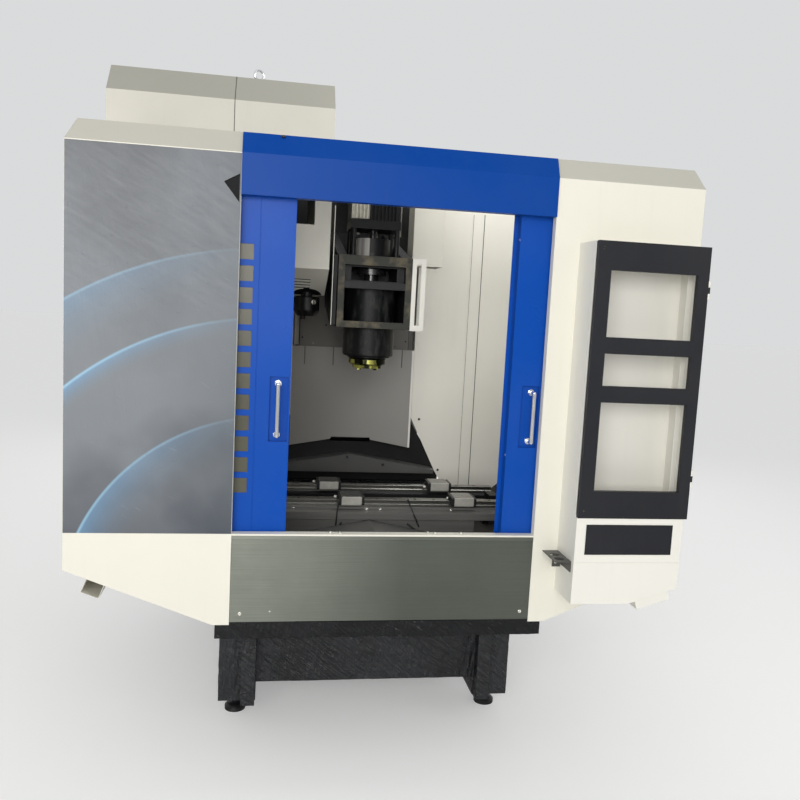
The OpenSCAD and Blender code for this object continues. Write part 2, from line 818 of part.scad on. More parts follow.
// Saddle: wide flange under the X rails, narrower body over the Y carriages, troughs and nut boss
module saddle_casting() {
    z_flange = saddle_z - saddle_flange_t;
    trough = x_rail_gap / 2 - 44;
    shelf_in = saddle_half - 76;
    color(casting_black) difference() {
        union() {
            translate([0, 0, 0]) wall_yz(-saddle_half, 2 * saddle_half) polygon([
                [saddle_d0, z_flange], [saddle_d0, saddle_z - 8], [x_rail_set - 26, saddle_z - 8],
                [x_rail_set - 26, saddle_z], [x_rail_set + 26, saddle_z], [x_rail_set + 32, saddle_z - 6],
                [x_rail_back - 32, saddle_z - 6], [x_rail_back - 26, saddle_z], [x_rail_back + 26, saddle_z],
                [x_rail_back + 26, saddle_z - 8], [saddle_d1, saddle_z - 8], [saddle_d1, z_flange]]);
            block(-saddle_low_half, saddle_low_half, inner_cover_d1, saddle_d1, saddle_low_z, z_flange);
            block(-44, 44, x_screw_d - 50, x_screw_d + 50, y_screw_z - 30, saddle_low_z);
            both_sides() block(shelf_in, saddle_half, x_screw_d - trough - 12, x_screw_d + trough + 12,
                bearing_seat_z - 24, z_flange + 1);
        }
        // Trough for the X screw: deep in the middle, with a shelf for the bearing blocks at each end
        block(-shelf_in, shelf_in, x_screw_d - trough, x_screw_d + trough, saddle_z - 84, saddle_z + 1);
        both_sides() block(shelf_in - 1, saddle_half - 12, x_screw_d - trough, x_screw_d + trough,
            bearing_seat_z, saddle_z + 1);
        rod_x(-saddle_half - 1, x_screw_d, x_screw_z, screw_dia + 8, 2 * saddle_half + 2);
        rod_y(0, x_screw_d - 60, y_screw_z, screw_dia + 2 * run_gap, 120);
        both_sides() for (i = [0 : 1]) block(
            60 + i * 190, 210 + i * 180, saddle_d0 + 40, x_screw_d - trough - 24, saddle_low_z - 1, z_flange + 8);
    }
}

// Gabled way cover between two depths, lower by drop than the outermost one, with a strip that rides
// on the next one
module gable(d0, d1, drop, half) {
    ridge = cover_z - drop;
    eave = ridge - half * cover_slope;
    t = 1.6;
    strip = 4 - play;
    wall_xz(d0, d1 - d0) polygon([
        [0, ridge], [half, eave], [half, eave - 26], [half - t, eave - 26], [half - t, eave - t],
        [0, ridge - t], [t - half, eave - t], [t - half, eave - 26], [-half, eave - 26], [-half, eave]]);
    if (drop < 8) wall_xz(d1 - 12, 12) polygon([
        [0, ridge], [half - 8, eave + 1.6], [half - 8, eave + 1.6 - strip], [0, ridge - strip],
        [8 - half, eave + 1.6 - strip], [8 - half, eave + 1.6]]);
}

module front_way_cover() {
    foot_z = bed_z + pan_t + play;
    eave = cover_z - cover_half * cover_slope;
    color(dark_grey) union() {
        gable(front_cover_d0, front_cover_d1, 0, cover_half);
        difference() {
            wall_xz(front_cover_d0, sheet_t) polygon([
                [0, cover_z], [cover_half, eave], [cover_half, foot_z], [-cover_half, foot_z],
                [-cover_half, eave]]);
            block(-y_way_w / 2 - play, y_way_w / 2 + play, front_cover_d0 - 4, front_cover_d0 + 6,
                bed_z, y_way_z + 20);
        }
    }
}

module middle_way_cover() {
    color(dark_grey) gable(middle_cover_d0, middle_cover_d1, 4, cover_half - 6);
}

// Innermost stage of the front way cover, fixed to the saddle's front
module saddle_way_cover() {
    color(dark_grey) gable(inner_cover_d0, inner_cover_d1, 8, cover_half - 12);
}

// Fixed gabled guard at the foot of the column, with screws along its top edge
module rear_way_cover() {
    apex = 849;
    end_z = 774;
    half = 440;
    low = 755;
    t = 2;
    reach = column_d + 12 - work_d - play;
    color(dark_grey) {
        union() {
            wall_xz(work_d + sheet_t + play, t) polygon([
                [0, apex], [half, end_z], [half, low], [-half, low], [-half, end_z]]);
            wall_xz(work_d + sheet_t + play, reach - sheet_t - play) polygon([
                [0, apex], [half, end_z], [half, end_z - t], [0, apex - t], [-half, end_z - t], [-half, end_z]]);
        }
        for (x = [-376, -182, 0, 182, 376])
            rod_y(x, work_d - 1 + play, apex - 22 - abs(x) * 0.165, 12, 3, $fn = 24);
    }
}

// Column: ribbed casting with a flared foot, rail seats and a trough for the screw
module column_casting() {
    foot = foot_w / 2;
    seat = 26;
    front = column_d;
    outline = [
        [-column_half, column_z], [-column_half, flare_z], [-foot, seat_z + 60], [-foot, seat_z],
        [foot, seat_z], [foot, seat_z + 60], [column_half, flare_z], [column_half, column_z]];
    color(casting_black) difference() {
        union() {
            wall_xz(front + 12, column_back - front - 12) polygon(outline);
            both_sides() block(z_rail_x - seat, z_rail_x + seat, front, front + 13, z_rail_z0 - 10, z_rail_z1 + 10);
        }
        block(-110, 110, front - 1, front + 114, seat_z + 200, column_z - 46);
        for (i = [0 : 5]) {
            rib = cast_t;
            cell = (column_z - seat_z - 7 * rib) / 6;
            z0 = seat_z + rib + i * (cell + rib);
            block(-column_half + rib, -rib / 2, front + 116 + rib, column_back + 1, z0, z0 + cell);
            block(rib / 2, column_half - rib, front + 116 + rib, column_back + 1, z0, z0 + cell);
        }
        translate([0, dy(z_screw_d), column_z - 47]) cylinder(d = screw_dia + 12, h = 48);
        both_sides() rod_y(foot - 45, front + 60, seat_z + 26, 18, 1);
    }
}

// Lower splash plate on the column, gabled below, with four catch slots in its top edge
module column_splash_plate() {
    low = 903;
    edge_low = 888;
    notch_half = 98;
    notch_z = 936;
    reach = column_d - work_d;
    color(grey) difference() {
        union() {
            wall_xz(work_d, splash_t) polygon([
                [-splash_half + 7, splash_top], [-splash_half + 7, edge_low], [-notch_half - 4, low + 22],
                [-notch_half, notch_z], [notch_half, notch_z], [notch_half + 4, low + 22],
                [splash_half - 8, edge_low], [splash_half - 8, splash_top]]);
            both_sides() block(
                splash_half - 10, splash_half - 8, work_d, work_d + reach + 12 - play, flare_z, splash_top);
        }
        for (x = [-245, -103, 103, 245])
            block(x - 2.5, x + 2.5, work_d - 1, work_d + splash_t + 1, splash_top - 90, splash_top + 1);
    }
}

// Upper splash plate, carried down and up by the head behind the lower one
module head_splash_plate() {
    d = work_d + splash_t + 2;
    z0 = head_z - 370;
    z1 = head_plate_z0 + 40;
    neck = head_half + 4;
    color(dark_grey) difference() {
        wall_xz(d, splash_t) polygon([
            [-upper_splash_half, z0], [upper_splash_half, z0], [upper_splash_half, z1], [neck, z1],
            [neck, neck_z - 2], [-neck, neck_z - 2], [-neck, z1], [-upper_splash_half, z1]]);
        for (hole = [[145, 12], [205, 104], [260, 77]]) both_sides()
            rod_y(hole[0], d - 1, head_z - hole[1], 8, splash_t + 2);
    }
}

// Head casting: open-fronted box for the spindle, neck and side webs, and the plate on the Z carriages
module spindle_head() {
    rim = 27;
    rim_top = 39;
    web = 38;
    plate_half = z_rail_x + carriage_w / 2;
    plate_d = head_back - head_plate_t;
    splash_d = work_d + 2 * splash_t + 2;
    window_half = head_half - rim;
    color([0.3, 0.3, 0.29]) difference() {
        union() {
            block(-head_half, head_half, head_set, head_box_back, head_z, head_top);
            wall_yz(-head_half, head_w) polygon([
                [head_box_back - 1, head_z], [head_box_back + 60, head_z], [splash_d - 10, neck_z],
                [head_back, neck_z], [head_back, head_top + 40], [head_box_back - 1, head_top]]);
            both_sides() wall_yz(head_half - web, web) polygon([
                [head_set + 40, head_top - 1], [head_back - 1, head_top], [head_back - 1, head_plate_z1],
                [head_back - 60, head_plate_z1]]);
            block(-plate_half, plate_half, plate_d, head_back, head_plate_z0, head_plate_z1);
            both_sides() block(220, 234, splash_d, plate_d + 1, head_plate_z0 + 14, head_plate_z0 + 34);
            block(-50, 50, head_back - 1, z_screw_d + 34, z_nut_z, z_nut_z + 90);
        }
        block(-window_half, window_half, head_set - 1, head_box_back - 32, head_z + rim, shelf_z);
        block(-window_half, window_half, head_set - 1, head_set + 46, shelf_z + rim + 2, head_top - rim_top);
        block(-95, 95, head_set + 45, head_box_back - 32, shelf_z + rim + 8, head_top - rim_top - 6);
        rod_z(0, spindle_set, head_z - 1, sleeve_dia + 0.2, rim + 2);
        rod_z(0, spindle_set, shelf_z - 1, 110, head_h);
        rod_z(0, z_screw_d, z_nut_z - 1, screw_dia + 2 * run_gap, 92);
        block(-head_half + web, head_half - web, head_box_back + 30, head_back - head_plate_t - 20,
            neck_z + 60, head_top + 60);
    }
}

// Fixed spindle cartridge: black sleeve with a stepped lower end and a bright clamp ring
module spindle_sleeve() {
    r = sleeve_dia / 2;
    bore = journal_dia / 2 + 0.05;
    top = shelf_z - 0.3;
    color(black) union() {
        translate([0, dy(spindle_set), 0]) rotate_extrude($fn = 96) polygon([
            [bore, sleeve_z - 8], [nose_dia / 2 + 4, sleeve_z - 8], [nose_dia / 2 + 6, sleeve_z - 6],
            [nose_dia / 2 + 6, sleeve_z], [r - 5, sleeve_z], [r, sleeve_z + 5], [r, top], [bore, top]]);
        for (a = [30 : 60 : 330]) translate([0, dy(spindle_set), sleeve_z - 4]) rotate([0, 0, a])
            translate([nose_dia / 2 + 14, 0, 0]) cylinder(d = 12, h = 5, $fn = 24);
    }
}

// Spindle shaft: nose with taper and drive keys, journal, tail, coupling ring and motor shaft
module spindle_rotor() {
    nose = nose_dia / 2;
    journal = journal_dia / 2;
    tail = 30;
    ring_z = shelf_z + 62;
    color([0.75, 0.7, 0.35]) difference() {
        union() {
            translate([0, dy(spindle_set), 0]) rotate_extrude($fn = 96) polygon([
                [12.5, nose_z + 70], [22.2, nose_z], [nose - 18, nose_z], [nose - 16, nose_z + 12],
                [nose - 6, nose_z + 14], [nose, nose_z + 20], [nose, sleeve_z - 12], [journal, sleeve_z - 10],
                [journal, shelf_z - 14], [tail, shelf_z - 12], [tail, ring_z], [62.5, ring_z], [62.5, ring_z + 24],
                [tail, ring_z + 24], [19, ring_z + 30], [19, stand_z + 46], [12.5, stand_z + 46]]);
            for (s = [-1, 1]) translate([s * 36, dy(spindle_set), nose_z - 4])
                cube([18, 24, 12], center = true);
        }
        for (a = [0 : 45 : 315]) translate([0, dy(spindle_set), ring_z + 12]) rotate([90, 0, a])
            translate([0, 0, 55]) cylinder(d = 7, h = 9, $fn = 24);
        for (s = [-1, 1]) translate([s * (nose - 6), dy(spindle_set) - 8, nose_z + 22])
            cube([14, 16, 14], center = true);
    }
}

// Posts, motor plate and the round coupling guard on the head
module motor_stand() {
    color(dark_grey) {
        difference() {
            block(-motor_w / 2, motor_w / 2, spindle_set - motor_w / 2, spindle_set + motor_w / 2, stand_z, stand_z + 20);
            rod_z(0, spindle_set, stand_z - 1, 60, 22);
        }
        for (x = [-post_x, post_x], y = [-post_x, post_x]) rod_z(x, spindle_set + y, head_top, 22, post_h);
        difference() {
            rod_z(0, spindle_set, head_top, 150, 78);
            rod_z(0, spindle_set, head_top - 1, 118, 80);
        }
    }
}

// Spindle motor: square body with upright cooling fins, fan cowl and terminal box
module spindle_motor() {
    w = motor_w;
    z0 = stand_z + 20;
    fin_pitch = 15;
    fins = floor((w - 36) / fin_pitch);
    cowl = 58;
    core = w / 2 - 14;
    color(steel) difference() {
        union() {
            translate([0, dy(spindle_set), z0]) linear_extrude(16) square(w, center = true);
            translate([0, dy(spindle_set), z0 + 16]) linear_extrude(motor_h - cowl - 16) union() {
                square(2 * core, center = true);
                for (i = [0 : fins]) {
                    at = (i - fins / 2) * fin_pitch;
                    translate([at, 0]) square([5, w], center = true);
                    translate([0, at]) square([w, 5], center = true);
                }
            }
            translate([0, dy(spindle_set), z0 + motor_h - cowl]) linear_extrude(cowl) square(w, center = true);
            block(w / 2 - 1, w / 2 + 52, spindle_set - 60, spindle_set + 60, z0 + 110, z0 + 220);
        }
        rod_z(0, spindle_set, z0 - 1, 64, 40);
        for (i = [-3 : 3]) block(i * 22 - 4, i * 22 + 4, spindle_set - 80, spindle_set + 80,
            z0 + motor_h - 12, z0 + motor_h + 1);
    }
}

// White slotted angle on the head's right side, and the tall guard strip on its left
module head_side_brackets() {
    w = 55;
    slot_w = 19;
    slot_h = 250;
    z0 = head_z - 3;
    z1 = head_top;
    mid = (z0 + z1) / 2;
    color(white) {
        difference() {
            union() {
                block(head_half + 1, head_half + 2 + w, head_set, head_set + 3, z0, z1);
                block(head_half, head_half + 3, head_set, head_set + 110, z0, z1);
            }
            block(head_half + 18, head_half + 18 + slot_w, head_set - 1, head_set + 4, mid - slot_h / 2, mid + slot_h / 2);
        }
        union() {
            block(-head_half - 24, -head_half - 21, head_set + 4, head_set + 90, head_z + 8, head_top + 190);
            block(-head_half - 22, -head_half, head_set + 60, head_set + 63, head_z + 8, head_top);
        }
    }
}

// White vertical duct box beside the column, hung from the rear wall
module cable_duct() {
    x0 = 204;
    x1 = 344;
    d0 = 975;
    d1 = 1125;
    z0 = 1790;
    z1 = top_z + 40;
    color(white) union() {
        difference() {
            block(x0, x1, d0, d1, z0, z1);
            block(x0 + sheet_t, x1 - sheet_t, d0 + sheet_t, d1 - sheet_t, z0 - 1, z1 - sheet_t);
        }
        wall_yz(x1 - sheet_t, sheet_t) polygon([
            [d1 - 1, z0 + 110], [d1 - 1, z1], [work_d, z1], [work_d, top_z - 60]]);
        block(x1 - sheet_t, x1 + 24, work_d - sheet_t, work_d, top_z - 120, top_z);
    }
}

// Depth and height section of the magazine housing, smaller all round by in
function magazine_section(in) = [
    [magazine_set + in, magazine_front_z + in * 0.8], [magazine_set + in, magazine_z - 108 - in * 0.5],
    [magazine_set + 92 + in * 0.5, magazine_z - in], [work_d - in, magazine_z - in],
    [work_d - in, magazine_low + in], [magazine_set + 229 + in * 0.3, magazine_low + in]];

// Two folded sections of the magazine housing, open to each other, with the loading window
module magazine_housing() {
    t = sheet_t;
    seam = magazine_seam;
    color(white) {
        difference() {
            wall_yz(-magazine_out, magazine_out - seam) polygon(magazine_section(0));
            wall_yz(-magazine_out + t, magazine_out - seam) polygon(magazine_section(t));
        }
        difference() {
            wall_yz(-seam, seam - magazine_in) polygon(magazine_section(0));
            wall_yz(-seam - 1, seam - magazine_in + 1 - t) polygon(magazine_section(t));
            block(-seam + 60, -magazine_in - 64, magazine_set - 1, magazine_set + t + 1, 1903, 2140);
            rod_z(changer_x, spindle_set, magazine_low - 60, changer_dia + 14, 130);
            rod_z(-493, 720, magazine_z - 9, 17, 10);
            for (i = [0 : 3]) block(-330, -262, magazine_set + 90 + i * 24, magazine_set + 102 + i * 24,
                magazine_low - 20, magazine_front_z);
            block(-column_half - 18, -magazine_in + 1, work_d - 40, work_d + 1, magazine_low + 60, magazine_low + 230);
        }
    }
}

// Cast gearbox behind the housing's sheet: carries the disc's shaft and the changer, bolted to the column
module changer_gearbox() {
    x0 = changer_x - 120;
    x1 = changer_x + 62;
    d0 = spindle_set - 70;
    d1 = 1200;
    z0 = magazine_low + sheet_t + play;
    slope = (magazine_front_z - magazine_low) / 229;
    corner_z = magazine_front_z - slope * (d0 - magazine_set) + 3;
    corner_d = d0 + (corner_z - z0) / slope;
    color(casting_black) difference() {
        union() {
            wall_yz(x0, x1 - x0) polygon([
                [d0, corner_z], [corner_d, z0], [d1, z0], [d1, z0 + 200], [d0, z0 + 200]]);
            block(x0, x1 - 70, disc_d - 80, d1, z0, gearbox_top);
            block(-column_half - 14, -column_half - play, d1 - 1, column_d + 160, z0 + 90, z0 + 190);
            block(-column_half - 30, -column_half - 13, d1 - 1, work_d - 30, z0 + 40, z0 + 220);
            rod_x(disc_x - 30, disc_d, disc_z, 60, x0 - disc_x + 31);
        }
        rod_z(changer_x, spindle_set, z0 - 1, 50.1, 120);
    }
}

// Magazine disc with its ring of tool pots
module magazine_disc() {
    pot_l = 105;
    step = 360 / pot_count;
    color(dark_grey) translate([disc_x, dy(disc_d), disc_z]) rotate([0, -90, 0]) difference() {
        union() {
            translate([0, 0, -6]) cylinder(r = pot_ring + pot_dia * 0.2, h = 12, $fn = 96);
            translate([0, 0, -14]) cylinder(d = 110, h = 40);
            for (i = [0 : pot_count - 1]) rotate([0, 0, i * step]) translate([pot_ring, 0, -6])
                cylinder(d = pot_dia, h = pot_l, $fn = 32);
        }
        translate([0, 0, -20]) cylinder(d = 60.1, h = 60);
        for (i = [0 : pot_count - 1]) rotate([0, 0, i * step]) translate([pot_ring, 0, 30])
            cylinder(d1 = pot_dia * 0.36, d2 = pot_dia * 0.66, h = pot_l - 35, $fn = 32);
        for (i = [0 : 7]) rotate([0, 0, i * 45 + 22.5]) translate([pot_ring * 0.56, 0, -10])
            cylinder(d = pot_ring * 0.3, h = 20, $fn = 48);
    }
}

// Lower end of the tool changer's shaft, waiting for its arm
module changer_hub() {
    r = changer_dia / 2;
    color(black) union() {
        translate([changer_x, dy(spindle_set), 0]) rotate_extrude() polygon([
            [0, changer_top - 86], [r - 16, changer_top - 86], [r, changer_top - 62], [r, changer_top - 8],
            [r - 4, changer_top - 4], [25, changer_top - 4], [25, changer_top + 100], [0, changer_top + 100]]);
        rod_z(changer_x - 14, spindle_set - 20, changer_top - 100, 20, 20);
    }
}

module eye_bolt() {
    color(bright) translate([-493, dy(720), magazine_z]) union() {
        cylinder(d = 32, h = 7);
        translate([0, 0, -20]) cylinder(d = 16, h = 24);
        translate([0, 0, -15 - sheet_t]) cylinder(d = 27, h = 15 - play, $fn = 6);
        translate([0, 0, 27]) rotate([90, 0, 20]) rotate_extrude() translate([18.5, 0]) circle(d = 10, $fn = 24);
    }
}

// White upper console box, open to the front behind the hinged frame
module console_box() {
    t = sheet_t;
    leaf = 3;
    color(white) difference() {
        union() {
            difference() {
                union() {
                    block(box_x0, box_x1, -box_front, 0, box_z, console_top);
                    block(box_x0, box_x1, -low_front, 0, box_z, console_z - play);
                }
                block(box_x0 + t, box_x1 - t, -box_front - 1, -t, console_z + 8, console_top - t);
                block(box_x0 + t, box_x1 - t, -low_front + t, -t, box_z - 1, console_z - play - t);
                block(box_x0 + t, box_x1 - t, -box_front + t, -t, box_z - 1, console_z + 9);
            }
            difference() {
                block(box_x0 + 1, box_x1 - 1, -80, -76, console_z - 1, console_top - 1);
                block(open_x0 - 8, open_x0 + console_open_w + 8, -81, -75, console_z + 60, console_top - 70);
            }
            for (z = hinge_zs) {
                for (k = [0, 2]) translate([hinge_x, front_y + hinge_y, z + k * hinge_h / 3 + (k > 0 ? play : 0)])
                    cylinder(r = hinge_r, h = hinge_h / 3 - play);
                translate([hinge_x, front_y + hinge_y, z]) cylinder(d = hinge_pin, h = hinge_h);
                difference() {
                    block(box_x1 - 1, hinge_x + hinge_r - 1, hinge_y, -box_front + 8, z, z + hinge_h);
                    block(box_x1 - 2, hinge_x + 1, hinge_y - 1, -box_front + 1, z - 1, z + hinge_h + 1);
                    block(box_x1 - 2, hinge_x + hinge_r, hinge_y - 1, -box_front + 1,
                        z + hinge_h / 3 - play, z + 2 * hinge_h / 3 + play);
                }
            }
        }
    }
}

// Black frame with three openings for the screens and keys, hinged at its right edge
module console_frame() {
    t = sheet_t;
    x0 = console_x0;
    x1 = console_x1;
    d0 = -console_proud;
    color(black) difference() {
        union() {
            difference() {
                block(x0, x1, d0, d0 + frame_t, console_z, console_top);
                difference() {
                    block(x0 + t, x1 - t, d0 + t, d0 + frame_t + 1, console_z + t, console_top - t);
                    for (i = [0 : 2]) console_opening(i, t);
                }
                for (i = [0 : 2]) console_opening(i, 0);
                for (z = hinge_zs) translate([hinge_x, front_y + hinge_y, z - 1])
                    cylinder(r = hinge_r + 1, h = hinge_h + 2);
            }
            for (z = hinge_zs) translate([hinge_x, front_y + hinge_y, z + hinge_h / 3]) {
                cylinder(r = hinge_r, h = hinge_h / 3);
                translate([-hinge_r - 2, 1, 0]) cube([hinge_r + 2, frame_t - 9, hinge_h / 3]);
            }
        }
        for (z = hinge_zs) translate([hinge_x, front_y + hinge_y, z - 1])
            cylinder(r = hinge_pin / 2 + 0.06, h = hinge_h + 2);
        for (z = [console_z + 24, console_top - 24]) rod_y(x0 + 18, d0 - 1, z, 7, t + 2);
    }
}

// Prism through the frame at one opening, larger all round by grow
module console_opening(i, grow) {
    z = console_z + console_open_z[i];
    block(open_x0 - grow, open_x0 + console_open_w + grow, -console_proud - 1 + grow * 0,
        -console_proud + frame_t + 1, z - grow, z + console_open_h[i] + grow);
}

// White box under the console, cut off along its outer lower corner, with a folded hood below
module console_lower_box() {
    t = sheet_t;
    cut_x = box_x0 + 206;
    cut_z = low_box_z + 53;
    cut_angle = atan2(cut_z - low_box_z, box_x1 - cut_x);
    hood_l = 122;
    hood_h = 32;
    color(white) union() {
        difference() {
            wall_xz(-low_front, low_front) polygon([
                [box_x0, low_box_z], [cut_x, low_box_z], [box_x1, cut_z], [box_x1, box_z - play],
                [box_x0, box_z - play]]);
            wall_xz(-low_front + t, low_front - 2 * t) polygon([
                [box_x0 + t, low_box_z + t], [cut_x - 0.3 * t, low_box_z + t], [box_x1 - t, cut_z + t * 0.8],
                [box_x1 - t, box_z + 1], [box_x0 + t, box_z + 1]]);
        }
        translate([cut_x + 26, dy(-low_front + 4), low_box_z + 8]) rotate([0, -cut_angle, 0]) difference() {
            translate([0, 0, -hood_h]) cube([hood_l, 110, hood_h]);
            translate([t, t, t - hood_h - 9]) cube([hood_l - 2 * t, 120, hood_h + 7 - t]);
        }
    }
}

// Black plate with six screws over the cable entry of the console
module cable_plate() {
    x0 = box_x0 + 35;
    x1 = box_x1 - 37;
    z0 = box_z + 28;
    z1 = z0 + 103;
    d0 = -low_front - 2;
    color(black) union() {
        block(x0, x1, d0, d0 + 2, z0, z1);
        for (x = [x0 + 14, (x0 + x1) / 2, x1 - 14], z = [z0 + 12, z1 - 12])
            rod_y(x, d0 - 1, z, 10, 2, $fn = 24);
    }
}

// Small folded plate with two holes, where an air gun hangs beside the console
module air_gun_bracket() {
    z = box_z - 6;
    x0 = box_x0 - 57;
    color(dark_grey) difference() {
        union() {
            block(x0, box_x0, -138, -9, z, z + 3);
            block(box_x0 - 3, box_x0, -138, -9, z - 34, z + 3);
            block(box_x0 - 30, box_x0, -40, -37, z - 46, z + 1);
        }
        for (d = [-104, -58]) rod_z(x0 + 27, d, z - 1, 34, 5);
        rod_y(box_x0 - 17, -42, z - 30, 12, 8);
    }
}

// One sliding door on the right of the middle: folded pan, window grid, handle tray and guide lips
module door_panel(lead, handle_in) {
    t = sheet_t;
    back = door_set + door_t;
    x1 = lead + door_w;
    tray = lead + handle_in;
    tray_z = handle_z - handle_tray_h / 2;
    difference() {
        union() {
            difference() {
                block(lead, x1, door_set, back, door_z0, door_z1);
                block(lead + t, x1 - t, door_set + t, back + 1, door_z0 + t, door_z1 - t);
            }
            block(tray, tray + handle_tray_w, door_set, door_set + handle_tray_d + t, tray_z, tray_z + handle_tray_h);
            block(lead + 20, x1 - 20, rail_d - 1.5, rail_d + 1.5, door_z1 - t, door_z1 + 30);
            block(lead, x1, rail_d - 7, rail_d - 4, door_z0 - 5, door_z0 + 1);
            block(lead, x1, rail_d + 4, rail_d + 7, door_z0 - 5, door_z0 + 1);
        }
        block(tray + t, tray + handle_tray_w - t, door_set - 1, door_set + handle_tray_d,
            tray_z + t, tray_z + handle_tray_h - t);
        block(lead + 112, lead + 115, door_set - 1, door_set + 0.8, door_z0 - 1, door_z1 + 1);
        for (i = [0 : window_cols - 1], j = [0 : window_rows - 1])
            block(lead + window_in + i * window_pitch, lead + window_in + i * window_pitch + window_size,
                door_set - 1, door_set + t + 1, window_z + j * window_pitch, window_z + j * window_pitch + window_size);
    }
}

// Clear sheet held behind a door's windows
module door_window(lead) {
    margin = 12;
    block(lead + window_in - margin, lead + window_in + (window_cols - 1) * window_pitch + window_size + margin,
        door_set + sheet_t, door_set + sheet_t + 3, window_z - margin,
        window_z + (window_rows - 1) * window_pitch + window_size + margin);
}

// Round bar handle on two stand-offs, seated in its tray
module door_handle(lead, handle_in, bar_in) {
    bar_d = door_set + handle_tray_d - 40;
    r = handle_dia / 2;
    x = lead + handle_in + bar_in;
    half = handle_h / 2 - r;
    union() {
        rod_z(x, bar_d, handle_z - half, handle_dia, 2 * half);
        for (s = [-1, 1]) {
            translate([x, dy(bar_d), handle_z + s * half]) sphere(d = handle_dia);
            rod_y(x, bar_d, handle_z + s * half, handle_dia - 2, 40);
            rod_y(x, bar_d + 35, handle_z + s * half, handle_dia + 8, 5);
        }
    }
}

module left_door_panel() {
    color(blue) mirror([1, 0, 0]) door_panel(left_lead, handle_in_left);
}

module left_door_window() {
    color([0.6, 0.62, 0.6, 0.5]) mirror([1, 0, 0]) door_window(left_lead);
}

module left_door_handle() {
    color(bright) mirror([1, 0, 0]) door_handle(left_lead, handle_in_left, 37);
}

// Right door, with the lip that reaches behind the left one when both are shut
module right_door_panel() {
    lip = 14;
    back = door_set + door_t;
    color(blue) union() {
        door_panel(right_lead, handle_in_right);
        block(right_lead, right_lead + 14, back - 1, back + 4, door_z0 + 4, door_z1 - 4);
        block(right_lead - lip, right_lead + 4, back + 2, back + 4, door_z0 + 4, door_z1 - 4);
    }
}

module right_door_window() {
    color([0.6, 0.62, 0.6, 0.5]) door_window(right_lead);
}

module right_door_handle() {
    color(bright) door_handle(right_lead, handle_in_right, 38);
}

// Control cabinet on the back of the column
module cabinet_box() {
    t = sheet_t;
    back = cabinet_back - cabinet_door_t;
    hx = cabinet_half + 3;
    color(white) union() {
        difference() {
            block(-cabinet_half, cabinet_half, column_back, back, cabinet_z0, cabinet_z1);
            block(-cabinet_half + t, cabinet_half - t, column_back + t, back + 1, cabinet_z0 + t, cabinet_z1 - t);
        }
        for (z = [cabinet_z0 + 150, cabinet_z1 - 210]) {
            for (k = [0, 2]) rod_z(hx, cabinet_back - 6, z + k * 20 + (k > 0 ? play : 0), 12, 20 - play);
            rod_z(hx, cabinet_back - 6, z, hinge_pin, 60);
            difference() {
                block(cabinet_half - 1, hx + 5, back - 24, cabinet_back - 6, z, z + 60);
                block(cabinet_half - 2, hx + 2, back - 2, cabinet_back, z - 1, z + 61);
                block(cabinet_half - 2, hx + 6, back - 2, cabinet_back, z + 20 - play, z + 40 + play);
            }
        }
    }
}

// Cabinet door with its folded rim and flush latch
module cabinet_door() {
    t = sheet_t;
    d0 = cabinet_back - cabinet_door_t + play;
    hx = cabinet_half + 3;
    color(white) difference() {
        union() {
            difference() {
                block(-cabinet_half, cabinet_half, d0, cabinet_back, cabinet_z0, cabinet_z1);
                block(-cabinet_half + t, cabinet_half - t, d0 - 1, cabinet_back - t, cabinet_z0 + t, cabinet_z1 - t);
                for (z = [cabinet_z0 + 150, cabinet_z1 - 210]) rod_z(hx, cabinet_back - 6, z - 1, 14, 62);
            }
            for (z = [cabinet_z0 + 150, cabinet_z1 - 210]) {
                rod_z(hx, cabinet_back - 6, z + 20, 12, 20);
                block(hx - 9, hx, cabinet_back - 12, cabinet_back - 3, z + 20, z + 40);
            }
            block(-cabinet_half + 30, -cabinet_half + 62, cabinet_back - 1, cabinet_back + 4,
                (cabinet_z0 + cabinet_z1) / 2 - 70, (cabinet_z0 + cabinet_z1) / 2 + 70);
            rod_y(-cabinet_half + 46, cabinet_back, (cabinet_z0 + cabinet_z1) / 2 + 45, 22, 8);
        }
        for (z = [cabinet_z0 + 150, cabinet_z1 - 210])
            rod_z(hx, cabinet_back - 6, z - 1, hinge_pin + 0.12, 62);
    }
}

bed_casting();
levelling_feet();
linear_rails();
axis_bearing_blocks();
axis_servo_motors();
front_way_cover();
rear_way_cover();
column_casting();
column_splash_plate();
enclosure_walls();
front_panel_left();
front_panel_right();
graphic_film();
header_beam();
door_guides();
door_sill();
apron_panel();
chip_pans();
console_box();
console_lower_box();
cable_plate();
air_gun_bracket();
magazine_housing();
changer_gearbox();
eye_bolt();
cable_duct();
cabinet_box();
saddle_casting();
y_carriages();
x_rails();
x_bearing_blocks();
x_servo_motor();
saddle_way_cover();
middle_way_cover();
y_ball_screw();
x_ball_screw();
x_ball_nut();
x_carriage_front_left();
x_carriage_front_right();
x_carriage_rear_left();
x_carriage_rear_right();
spindle_head();
z_carriages();
spindle_sleeve();
motor_stand();
spindle_motor();
head_side_brackets();
head_splash_plate();
spindle_rotor();
z_ball_screw();
left_door_panel();
left_door_window();
left_door_handle();
right_door_panel();
right_door_window();
right_door_handle();
console_frame();
cabinet_door();
magazine_disc();
changer_hub();
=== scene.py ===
import math

import bmesh
import bpy
from mathutils import Matrix, Vector, noise


